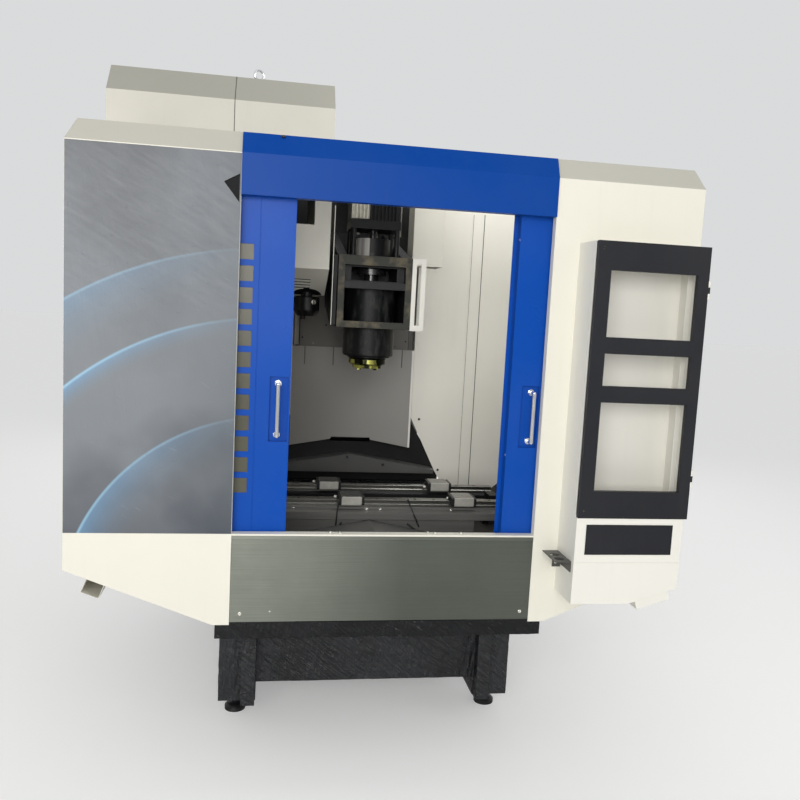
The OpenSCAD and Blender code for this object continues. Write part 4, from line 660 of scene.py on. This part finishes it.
# Console.
# The console hangs on the right front panel: two folded white boxes, a black frame with three openings on
# two hinges, and a black plate with six screws under it. A small dark bracket beside it takes an air gun.
console_white = dressed("console_white", enamel, specular=0.3,
                        Colour=srgb(238, 236, 227), Gloss=0.36, Marks=0.3, Peel=0.22)
coat(console_white, "console_box", "console_lower_box")
console_black = dressed("console_black", enamel, specular=0.25,
                        Colour=srgb(32, 33, 38), Gloss=0.46, Marks=0.12, Peel=0.5)
coat(console_black, "console_frame", "cable_plate")
bracket_grey = dressed("bracket_grey", enamel, Colour=srgb(70, 70, 68), Gloss=0.4, Marks=0.5, Peel=0.3)
coat(bracket_grey, "air_gun_bracket")


# Castings.
# The column, the screws' bearing blocks and the changer's gearbox are grey iron castings under a thick dark
# enamel, with a rough sand skin that shows through.
cast = Skin("cast_skin", Colour=(0.1, 0.1, 0.1, 1), Dust=(0.2, 0.19, 0.17, 1), Gloss=0.5, Grain=0.5)
sand = cast.cloud(160.0, 5.0, 0.65)
dusty = cast.span(cast.cloud(9.0, 3.0), 0.35, 0.75, 0.0, 0.35)
cast.put("Colour", cast.mix(dusty, cast["Colour"], cast["Dust"]))
cast.put("Roughness", cast.plus(cast["Gloss"], cast.span(sand, 0.3, 0.7, -0.08, 0.12)))
cast.put("Normal", cast.bumped(sand, cast.edges(0.003), cast["Grain"], 0.0008))

dark_cast = dressed("dark_casting", cast, specular=0.25,
                    Colour=srgb(24, 24, 26), Dust=srgb(44, 43, 40), Gloss=0.42, Grain=0.4)
coat(dark_cast, "column_casting", "axis_bearing_blocks", "x_bearing_blocks", "changer_gearbox")


# Saddle.
# The saddle casting is enamelled black. Its front ledge and face are ground bare and have dulled to grey.
SADDLE_BARE_Y = -0.424

saddle = Skin("saddle_skin", Bare=(0.15, 0.15, 0.15, 1), Enamel=(0.02, 0.02, 0.02, 1), Gloss=0.45)
enamelled = saddle.over(saddle.parts()["Y"], SADDLE_BARE_Y)
streaks = saddle.cloud(1.0, 5.0, 0.65, (3.0, 60.0, 60.0))
bare = saddle.mix(saddle.span(streaks, 0.4, 0.7, 0.0, 0.5), saddle["Bare"], (0.09, 0.088, 0.08, 1))
saddle.put("Colour", saddle.mix(enamelled, bare, saddle["Enamel"]))
saddle.put("Roughness", saddle.plus(saddle["Gloss"], saddle.span(streaks, 0.3, 0.7, -0.08, 0.1)))
saddle.put("Normal", saddle.bumped(saddle.cloud(160.0), saddle.edges(0.002), 0.25, 0.0005))

saddle_iron = dressed("saddle_iron", saddle, specular=0.3,
                      Bare=srgb(112, 111, 108), Enamel=srgb(26, 26, 27), Gloss=0.42)
coat(saddle_iron, "saddle_casting")


# Wrapped bed.
# For transport the cast-iron bed is wrapped in glossy black stretch film. The film follows the slab, the
# web and the legs closely, with fine slanting creases, and is bunched along the slab's lower edge.
WRAP_STEP = 0.014
WRAP_HALF = 0.567
WRAP_FRONT_Y = -0.996
WRAP_BACK_Y = -0.60
WRAP_DEPTH_STEP = 0.033
WRAP_FOOT_Z = 0.076
WRAP_TOP_Z = 0.512
FLAT_FOOT_Z = 0.085
BUNCHED_LOW_Z = 0.455
BUNCHED_HIGH_Z = 0.475
SLAB_Z = 0.463
SLANT_DEPTH = 0.0009
FOLD_DEPTH = 0.0016
WAVE_DEPTH = 0.0012
SAG_DEPTH = 0.0045
FOLD_LEVEL = 0.4
HELD_MARGIN = 0.001
TINY = 1e-6


def film_wrapped(data):
    """Cuts the front of the bed's mesh into small faces and creases them."""
    made = bmesh.new()
    made.from_mesh(data)

    def cut(at, facing):
        """Cuts what lies in front of the film's rear end."""
        held = [v for v in made.verts if v.co.y < WRAP_BACK_Y + TINY]
        chosen = set(held)
        edges = [e for e in made.edges if e.verts[0] in chosen and e.verts[1] in chosen]
        faces = [f for f in made.faces if all(v in chosen for v in f.verts)]
        bmesh.ops.bisect_plane(made, geom=held + edges + faces, plane_co=at, plane_no=facing, dist=TINY)

    bmesh.ops.bisect_plane(made, geom=made.verts[:] + made.edges[:] + made.faces[:],
                           plane_co=(0, WRAP_BACK_Y, 0), plane_no=(0, 1, 0), dist=TINY)
    for i in range(1, int(2 * WRAP_HALF / WRAP_STEP)):
        cut((-WRAP_HALF + i * WRAP_STEP, 0, 0), (1, 0, 0))
    for i in range(1, int((WRAP_TOP_Z - WRAP_FOOT_Z) / WRAP_STEP)):
        cut((0, 0, WRAP_FOOT_Z + i * WRAP_STEP), (0, 0, 1))
    for i in range(1, round((WRAP_BACK_Y - WRAP_FRONT_Y) / WRAP_DEPTH_STEP)):
        cut((0, WRAP_FRONT_Y + i * WRAP_DEPTH_STEP, 0), (0, 1, 0))
    made.normal_update()
    moves = []
    for v in made.verts:
        x, y, z = v.co
        if y > WRAP_BACK_Y + HELD_MARGIN or z > WRAP_TOP_Z or z < FLAT_FOOT_Z:
            continue
        slant = noise.noise(Vector((x * 16 + z * 26, y * 10, z * 14 - x * 8)))
        fold = abs(noise.noise(Vector((x * 30 - z * 34, 3.1 + y * 12, z * 22 + x * 30))))
        wave = noise.noise(Vector((x * 5.0, 7.7, z * 6.0)))
        out = SLANT_DEPTH * slant + FOLD_DEPTH * (FOLD_LEVEL - fold) + WAVE_DEPTH * wave
        bunched = BUNCHED_LOW_Z < z < BUNCHED_HIGH_Z
        sag = SAG_DEPTH * noise.noise(Vector((x * 21, 1.3, 2.0))) if bunched else 0.0
        moves.append((v, v.normal * out + Vector((0, 0, sag))))
    for v, move in moves:
        v.co += move
    made.to_mesh(data)
    made.free()


bed_wrap = bpy.data.objects.new("bed_wrap", nodes["bed_casting"].data.copy())
bpy.context.scene.collection.objects.link(bed_wrap)
film_wrapped(bed_wrap.data)

wrap = Skin("wrap_skin", Colour=(0.02, 0.02, 0.02, 1), Stress=(0.1, 0.1, 0.1, 1), Creases=0.6)
slants = wrap.cloud(1.0, 7.0, 0.62, (70.0, 40.0, 14.0), 0.85)
uprights = wrap.cloud(1.0, 6.0, 0.6, (64.0, 40.0, 9.0), -0.12)
nicks = wrap.cloud(1.0, 4.0, 0.6, (240.0, 120.0, 26.0), 1.0)
shine = wrap.cloud(5.0, 4.0)
toned = wrap.mix(wrap.span(shine, 0.35, 0.7, 0.0, 0.7), wrap["Colour"], wrap["Stress"])
wrap.put("Colour", wrap.mix(wrap.span(nicks, 0.69, 0.76, 0.0, 0.75), toned, (0.33, 0.34, 0.35, 1)))
wrap.put("Roughness", wrap.span(shine, 0.3, 0.7, 0.20, 0.36))
ridged = wrap.bumped(slants, wrap.edges(0.002), wrap["Creases"], 0.010)
wrap.put("Normal", wrap.bumped(uprights, ridged, wrap["Creases"], 0.008))

bed_film = dressed("bed_film", wrap, Colour=srgb(20, 21, 24), Stress=srgb(46, 48, 52), Creases=1.0)
slab_film = dressed("slab_film", wrap, specular=0.26,
                    Colour=srgb(14, 15, 16), Stress=srgb(30, 31, 34), Creases=0.8)
bed_wrap.data.materials.clear()
bed_wrap.data.materials.append(bed_film)
bed_wrap.data.materials.append(slab_film)
for face in bed_wrap.data.polygons:
    face.material_index = 1 if face.center.z > SLAB_Z else 0
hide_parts("bed_casting")
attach(bed_wrap, "machine")


# Levelling feet.
# Each foot is a turned black disc with a threaded stem and lock nuts, under one of the bed's legs.
black_oxide = dressed("black_oxide", polish, specular=0.35, Colour=srgb(26, 26, 28), Gloss=0.34)
coat(black_oxide, "levelling_feet")


# Rails, carriages and screws.
# The rails and ball screws are ground bearing steel with a thin film of oil. The carriages have lighter
# ground blocks between dark end seals. Their top faces are painted in shade, dark on the left carriages
# and lighter on the right.
rail_steel = dressed("rail_steel", lengthways, metallic=0.9,
                     Colour=srgb(128, 127, 122), Gloss=0.25, Depth=0.15)
coat(rail_steel, "x_rails", "x_ball_screw", "x_ball_nut", "door_guides")
inward_steel = dressed("inward_rail_steel", inwards, metallic=0.9,
                       Colour=srgb(160, 158, 150), Gloss=0.25, Depth=0.15)
coat(inward_steel, "y_ball_screw")
upright_steel = dressed("upright_rail_steel", upright, metallic=0.9,
                        Colour=srgb(150, 150, 144), Gloss=0.28, Depth=0.15)
coat(upright_steel, "linear_rails", "z_ball_screw", "z_carriages")

CARRIAGE_HALF = 0.0515
CARRIAGE_MARGIN = 0.0005
CARRIAGE_TOP_Z = 0.829
TOP_MARGIN = 0.0008
SEAL_FROM = 0.0405
SEAL_TO = 0.0415
RIGHT_TOP_SHADE = srgb(176, 174, 166)
LEFT_TOP_SHADE = srgb(74, 74, 72)

carriage = Skin("carriage_skin", Block=(0.3, 0.3, 0.3, 1), Seal=(0.02, 0.02, 0.02, 1), Middle=0.0, Wear=0.5,
                Top=(0.1, 0.1, 0.1, 1))
place = carriage.parts()
away = carriage.maths("ABSOLUTE", carriage.maths("SUBTRACT", place["X"], carriage["Middle"]))
dusty = carriage.times(carriage.span(carriage.cloud(26.0), 0.35, 0.7, 0.0, 0.5), carriage["Wear"])
block = carriage.mix(dusty, carriage["Block"], (0.12, 0.12, 0.11, 1))
pits = carriage.span(carriage.cloud(240.0, 3.0), 0.42, 0.58, 0.0, 0.55)
pitted_top_shade = carriage.mix(pits, carriage["Top"], (0.08, 0.08, 0.075, 1))
# The top face takes its own colour: painted shade, darker on the left carriages than on the right.
block = carriage.mix(carriage.over(place["Z"], CARRIAGE_TOP_Z - TOP_MARGIN), block, pitted_top_shade)
sealed = carriage.span(away, SEAL_FROM, SEAL_TO, 0.0, 1.0)
scratches = carriage.cloud(1.0, 3.0, 0.6, (30.0, 300.0, 500.0))
carriage.put("Colour", carriage.mix(sealed, block, carriage["Seal"]))
carriage.put("Roughness", carriage.span(carriage.cloud(60.0), 0.3, 0.7, 0.36, 0.5))
carriage.put("Normal", carriage.bumped(scratches, carriage.edges(0.0012), 0.15, 0.0003))

for corner in ("front_left", "front_right", "rear_left", "rear_right"):
    name = "x_carriage_" + corner
    low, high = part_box(name)
    carriage_paint = dressed(name + "_steel", carriage, metallic=0.25,
                             Block=srgb(190, 188, 178), Seal=srgb(24, 24, 26), Wear=0.6,
                             Middle=high[0] - CARRIAGE_HALF - CARRIAGE_MARGIN,
                             Top=RIGHT_TOP_SHADE if corner.endswith("right") else LEFT_TOP_SHADE)
    coat(carriage_paint, name)
way_steel = dressed("way_carriage_steel", inwards, metallic=0.6,
                    Colour=srgb(130, 128, 120), Gloss=0.4, Depth=0.2)
coat(way_steel, "y_carriages")


# Grease nipples.
# A small plated grease nipple is screwed into the left end of each carriage.
NIPPLES = (("front_left", 0.009, (-0.1288, -0.4186, 0.8180)),
           ("front_right", 0.004, (0.3392, -0.4186, 0.8180)),
           ("rear_left", 0.009, (-0.2018, -0.1400, 0.8180)),
           ("rear_right", 0.009, (0.2932, -0.1592, 0.8060)))
NIPPLE_RADIUS = 0.005

nipple_zinc = dressed("nipple_zinc", polish, Colour=srgb(240, 238, 226), Gloss=0.3)
for corner, length, place in NIPPLES:
    screws(corner + "_nipple", "carriage_" + corner, nipple_zinc, TO_LEFT, [place],
           radius=NIPPLE_RADIUS, height=length)


# Lubrication pipes.
# Two thin black nylon pipes come up at the front rail for the table's grease points. They run over the
# saddle's front edge and down its face, travel with it, and are capped while the table is off.
PIPE_RADIUS = 0.0028
STUB_RADIUS = 0.0036
LEFT_PIPE = ((-0.1217, -0.4685, 0.8127), (-0.1237, -0.4685, 0.7929), (-0.1249, -0.4700, 0.7788),
             (-0.1291, -0.5000, 0.7746), (-0.1298, -0.5035, 0.7641), (-0.1308, -0.5035, 0.7501),
             (-0.1308, -0.4915, 0.7345), (-0.1315, -0.4915, 0.7165))
RIGHT_PIPE = ((0.1629, -0.4685, 0.8176), (0.1727, -0.4685, 0.7959), (0.1805, -0.4700, 0.7787),
              (0.1814, -0.5000, 0.7715), (0.1845, -0.5035, 0.7633), (0.1909, -0.5035, 0.7509),
              (0.1998, -0.4915, 0.7335), (0.2085, -0.4915, 0.7140))
LEFT_STUB = ((-0.1078, -0.4895, 0.7300), (-0.113, -0.4905, 0.722), (-0.121, -0.4905, 0.708),
             (-0.127, -0.4905, 0.698))
RIGHT_STUB = ((0.1594, -0.4895, 0.7255), (0.168, -0.4905, 0.719), (0.184, -0.4905, 0.708),
              (0.197, -0.4905, 0.699))


def pipe(name, body, points, radius, material):
    """A round pipe from its first point to its last, which the points between draw into a smooth line."""
    data = bpy.data.curves.new(name, "CURVE")
    data.dimensions = "3D"
    data.bevel_depth = radius
    data.bevel_resolution = 3
    data.use_fill_caps = True
    spline = data.splines.new("NURBS")
    spline.points.add(len(points) - 1)
    for knot, point in zip(spline.points, points):
        knot.co = (*point, 1.0)
    spline.use_endpoint_u = True
    spline.order_u = 3
    data.resolution_u = 6
    piece = bpy.data.objects.new(name, data)
    bpy.context.scene.collection.objects.link(piece)
    data.materials.append(material)
    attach(piece, body)


pipe_black = dressed("pipe_black", polish, Colour=srgb(16, 16, 17), Gloss=0.4)
pipe("left_lube_pipe", "saddle", LEFT_PIPE, PIPE_RADIUS, pipe_black)
pipe("right_lube_pipe", "saddle", RIGHT_PIPE, PIPE_RADIUS, pipe_black)
screws("lube_pipe_caps", "saddle", black_screw, UP, [(-0.1216, -0.4685, 0.8120), (0.1626, -0.4685, 0.8169)],
       radius=0.0042, height=0.005)
pipe("left_lube_stub", "saddle", LEFT_STUB, STUB_RADIUS, pipe_black)
pipe("right_lube_stub", "saddle", RIGHT_STUB, STUB_RADIUS, pipe_black)


# Covers of the ways.
# The gabled covers over the ball screw and the gabled guard behind them are folded steel sheet under a thin
# grey enamel, with rub marks.
cover_grey = dressed("cover_grey", enamel, specular=0.35,
                     Colour=srgb(92, 92, 90), Gloss=0.42, Marks=0.6, Peel=0.22)
coat(cover_grey, "front_way_cover", "middle_way_cover", "saddle_way_cover")
guard_grey = dressed("guard_grey", enamel, specular=0.35,
                     Colour=srgb(92, 92, 91), Gloss=0.4, Marks=0.3, Peel=0.22)
coat(guard_grey, "rear_way_cover")


# Chip pans.
# The pans beside the bed are folded sheet. They are black inside the machine and white where they and their
# channels show under the side bays.
PAN_BLACK_HALF = 0.60
PAN_BLACK_FROM_Y = -0.2

pan = Skin("pan_skin", White=(0.8, 0.8, 0.8, 1), Black=(0.02, 0.02, 0.02, 1), Gloss=0.4)
place = pan.parts()
near_bed = pan.under(pan.maths("ABSOLUTE", place["X"]), PAN_BLACK_HALF)
inside = pan.maths("MAXIMUM", near_bed, pan.over(place["Y"], PAN_BLACK_FROM_Y))
dusty = pan.mix(pan.span(pan.cloud(30.0), 0.45, 0.75, 0.0, 0.4), pan["White"], (0.40, 0.39, 0.35, 1))
pan.put("Colour", pan.mix(inside, dusty, pan["Black"]))
pan.put("Roughness", pan.plus(pan["Gloss"], pan.span(pan.cloud(5.0), 0.3, 0.7, -0.05, 0.1)))
pan.put("Normal", pan.edges(0.001))

pan_finish = dressed("pan_finish", pan, specular=0.3,
                     White=srgb(226, 223, 211), Black=srgb(28, 28, 29), Gloss=0.4)
coat(pan_finish, "chip_pans")


# Splash plates.
# Two flat grey plates close the column behind the work area. The upper one rides with the head and slides
# behind the lower one, which has catch slots along its top edge and a white fold down its right side. The
# upper plate's darker grey is painted shade.
EDGE_FOLD = ((0.2960, 0.3738, 0.889), (0.3058, 0.3757, 1.387))
SIDE_STRIP = ((-0.2955, 0.4655, 1.389), (-0.2740, 0.4672, 1.600))

splash_grey = dressed("splash_grey", enamel, specular=0.3,
                      Colour=srgb(164, 162, 157), Gloss=0.4, Marks=0.4, Peel=0.22)
coat(splash_grey, "column_splash_plate")
# The upper plate is given a darker grey: painted shade.
upper_splash = dressed("upper_splash_shade_grey", enamel, specular=0.3,
                       Colour=srgb(112, 110, 105), Gloss=0.4, Marks=0.5, Peel=0.22)
coat(upper_splash, "head_splash_plate")

splash_edge = dressed("splash_edge", enamel, Colour=srgb(252, 250, 243), Gloss=0.34, Marks=0.1)
strips("splash_edge_fold", "machine", splash_edge, [EDGE_FOLD])
# A pale strip on the column's side lifts that shaded recess: painted light.
column_strip_painted_light = dressed("column_strip_painted_light", enamel, Colour=srgb(206, 203, 194), Gloss=0.42, Marks=0.4)
strips("column_side_strip", "machine", column_strip_painted_light, [SIDE_STRIP])


# Spindle head.
# The head is a box casting. The rim of its open front is milled bare and has dulled to olive grey, and the
# rest is black enamel. A thin guard stands at its left and a white slotted angle at its right. The guard is
# white only at its front edge, and its side behind is painted black as shade.
HEAD_FRONT_Y = -0.332
INNER_BAR_Z = 1.667
INNER_BAR_HALF_X = 0.126
INNER_BAR_HALF_Z = 0.068
BRACKET_EDGE_Y = -0.3405

rim = Skin("rim_skin", Rim=(0.2, 0.2, 0.2, 1), Rust=(0.2, 0.15, 0.1, 1), Enamel=(0.02, 0.02, 0.02, 1))
place = rim.parts()
behind = rim.over(place["Y"], HEAD_FRONT_Y)
from_middle = rim.maths("ABSOLUTE", place["X"])
from_bar = rim.maths("ABSOLUTE", rim.maths("SUBTRACT", place["Z"], INNER_BAR_Z))
inner_bar = rim.times(rim.under(from_middle, INNER_BAR_HALF_X), rim.under(from_bar, INNER_BAR_HALF_Z))
dulled = rim.mix(rim.span(rim.cloud(14.0), 0.48, 0.66, 0.0, 0.8), rim["Rim"], rim["Rust"])
rim.put("Colour", rim.mix(rim.maths("MAXIMUM", behind, inner_bar), dulled, rim["Enamel"]))
rim.put("Roughness", rim.span(rim.cloud(90.0), 0.3, 0.7, 0.36, 0.52))
rim.put("Normal", rim.bumped(rim.cloud(150.0), rim.edges(0.002), 0.3, 0.0006))

head_iron = dressed("head_iron", rim, specular=0.3,
                    Rim=srgb(50, 50, 44), Rust=srgb(112, 103, 80), Enamel=srgb(30, 30, 32))
coat(head_iron, "spindle_head")

bracket = Skin("bracket_skin", White=(0.8, 0.8, 0.8, 1), Black=(0.02, 0.02, 0.02, 1), Gloss=0.4)
place = bracket.parts()
# The guard's side behind its front edge is painted black: painted shade.
guard = bracket.times(bracket.under(place["X"], 0.0), bracket.over(place["Y"], BRACKET_EDGE_Y))
bracket.put("Colour", bracket.mix(guard, bracket["White"], bracket["Black"]))
dulling = bracket.span(bracket.cloud(8.0), 0.3, 0.7, -0.05, 0.1)
bracket.put("Roughness", bracket.plus(bracket["Gloss"], dulling))
bracket.put("Normal", bracket.edges(0.0008))

bracket_paint = dressed("bracket_paint", bracket, specular=0.3,
                        White=srgb(240, 238, 228), Black=srgb(20, 20, 21), Gloss=0.38)
coat(bracket_paint, "head_side_brackets")


# Spindle.
# The sleeve is black oxide. The rotor is ground steel, dull inside the head. Its nose below the sleeve is
# dark and greased with a yellow-green preservative that lies in patches.
NOSE_TOP_Z = 1.389
FLANGE_Z = 1.372

oxide_sleeve = dressed("oxide_sleeve", polish, specular=0.3, Colour=srgb(14, 15, 17), Gloss=0.42)
coat(oxide_sleeve, "spindle_sleeve")
hub_black = dressed("hub_black", polish, specular=0.3, Colour=srgb(14, 14, 15), Gloss=0.34)
coat(hub_black, "changer_hub")

nose = Skin("nose_skin", Steel=(0.3, 0.3, 0.3, 1), Grease=(0.5, 0.5, 0.05, 1), Dark=(0.02, 0.02, 0.02, 1))
place = nose.parts()
patches = nose.cloud(1.0, 2.0, 0.45, (15.0, 15.0, 4.0))
greased = nose.mix(nose.span(patches, 0.505, 0.545, 0.0, 1.0), nose["Dark"], nose["Grease"])
below = nose.mix(nose.over(place["Z"], FLANGE_Z), greased, nose["Dark"])
nose.put("Colour", nose.mix(nose.over(place["Z"], NOSE_TOP_Z), below, nose["Steel"]))
nose.put("Roughness", nose.span(patches, 0.3, 0.7, 0.14, 0.30))
nose.put("Normal", nose.edges(0.001))

nose_steel = dressed("nose_steel", nose, metallic=0.75,
                     Steel=srgb(70, 70, 70), Grease=srgb(196, 194, 104), Dark=srgb(28, 29, 20))
coat(nose_steel, "spindle_rotor")


# Spindle motor.
# The finned housing is die-cast aluminium. Its right half, its left flank and its foot plate are under black
# lacquer. It stands on a fluted alloy block with a black guard at the left. The flutes are only painted, as
# dark stripes of shade in their grooves.
LACQUER_FROM_X = -0.030
LACQUER_TO_X = -0.026
FLANK_FROM_X = -0.1025
FLANK_TO_X = -0.1015
PLATE_FROM_Z = 1.9545
PLATE_TO_Z = 1.9555
GUARD_LEFT_X = -0.0765
GUARD_RIGHT_X = -0.020
GUARD_TOP_Z = 1.9145

motor = Skin("motor_skin", Alloy=(0.6, 0.6, 0.55, 1), Lacquer=(0.02, 0.02, 0.02, 1), Gloss=0.4)
place = motor.parts()
right_half = motor.span(place["X"], LACQUER_FROM_X, LACQUER_TO_X, 0.0, 1.0)
left_flank = motor.span(place["X"], FLANK_FROM_X, FLANK_TO_X, 1.0, 0.0)
plate = motor.span(place["Z"], PLATE_FROM_Z, PLATE_TO_Z, 1.0, 0.0)
lacquered = motor.maths("MAXIMUM", motor.maths("MAXIMUM", right_half, left_flank), plate)
stained = motor.mix(motor.span(motor.cloud(40.0), 0.4, 0.7, 0.0, 0.4), motor["Alloy"], (0.25, 0.24, 0.21, 1))
motor.put("Colour", motor.mix(lacquered, stained, motor["Lacquer"]))
motor.put("Roughness", motor.plus(motor["Gloss"], motor.span(motor.cloud(70.0), 0.3, 0.7, -0.05, 0.1)))
motor.put("Normal", motor.edges(0.0008))

motor_alloy = dressed("motor_alloy", motor, specular=0.3,
                      Alloy=srgb(220, 216, 202), Lacquer=srgb(18, 18, 19), Gloss=0.42)
coat(motor_alloy, "spindle_motor")

stand = Skin("stand_skin", Alloy=(0.6, 0.6, 0.55, 1), Black=(0.02, 0.02, 0.02, 1), Gloss=0.4)
place = stand.parts()
left_part = stand.times(stand.over(place["X"], GUARD_LEFT_X), stand.under(place["X"], GUARD_RIGHT_X))
guard_part = stand.times(left_part, stand.under(place["Z"], GUARD_TOP_Z))
# Dark stripes for the flutes: painted shade in their grooves.
painted_flute_shade = stand.span(stand.cloud(1.0, 1.0, 0.5, (70.0, 70.0, 1.0)), 0.40, 0.60, 0.0, 0.6)
fluted = stand.mix(painted_flute_shade, stand["Alloy"], (0.16, 0.155, 0.15, 1))
stand.put("Colour", stand.mix(guard_part, stand["Black"], fluted))
stand.put("Roughness", stand.plus(stand["Gloss"], stand.span(stand.cloud(70.0), 0.3, 0.7, -0.05, 0.1)))
stand.put("Normal", stand.edges(0.0008))

stand_finish = dressed("stand_finish", stand, specular=0.3,
                       Alloy=srgb(196, 192, 186), Black=srgb(18, 18, 19), Gloss=0.36)
coat(stand_finish, "motor_stand")


# Tool magazine.
# The housing is folded sheet in the same white enamel, greyed by dust that on its upward faces is partly
# painted shade, and a dark joint runs down its front and slope. The disc inside it is bare cast alloy.
JOINT_LEFT_X = -0.5782
JOINT_RIGHT_X = -0.5756
JOINT_FRONT = ((-0.4257, 2.0300), (-0.4257, 2.3470))
JOINT_SLOPE = ((-0.4255, 2.3474), (-0.3335, 2.4554))


def housing_joint(name, low, high, depth):
    """A dark strip between two heights of the housing, each given as y and z."""
    corners = [(JOINT_LEFT_X, *low), (JOINT_RIGHT_X, *low), (JOINT_RIGHT_X, *high), (JOINT_LEFT_X, *high)]
    prism(name, "machine", seam_dark, corners, depth)


housing_white = dressed("housing_white", enamel, specular=0.3,
                        Colour=srgb(222, 219, 206), Gloss=0.42, Marks=0.7, Peel=0.22, Dust=0.75)
coat(housing_white, "magazine_housing")
housing_joint("housing_joint_front", *JOINT_FRONT, depth=(0.0, 0.0012, 0.0))
housing_joint("housing_joint_slope", *JOINT_SLOPE, depth=(0.0, 0.0010, -0.0008))
disc_alloy = dressed("disc_alloy", upright, metallic=0.5, Colour=srgb(120, 122, 120), Gloss=0.42, Depth=0.2)
coat(disc_alloy, "magazine_disc")


# Axis motors.
# The three axis motors are bought in, with black lacquered housings.
servo_black = dressed("servo_black", enamel, Colour=srgb(30, 30, 32), Gloss=0.4, Marks=0.3, Peel=0.4)
coat(servo_black, "axis_servo_motors", "x_servo_motor")
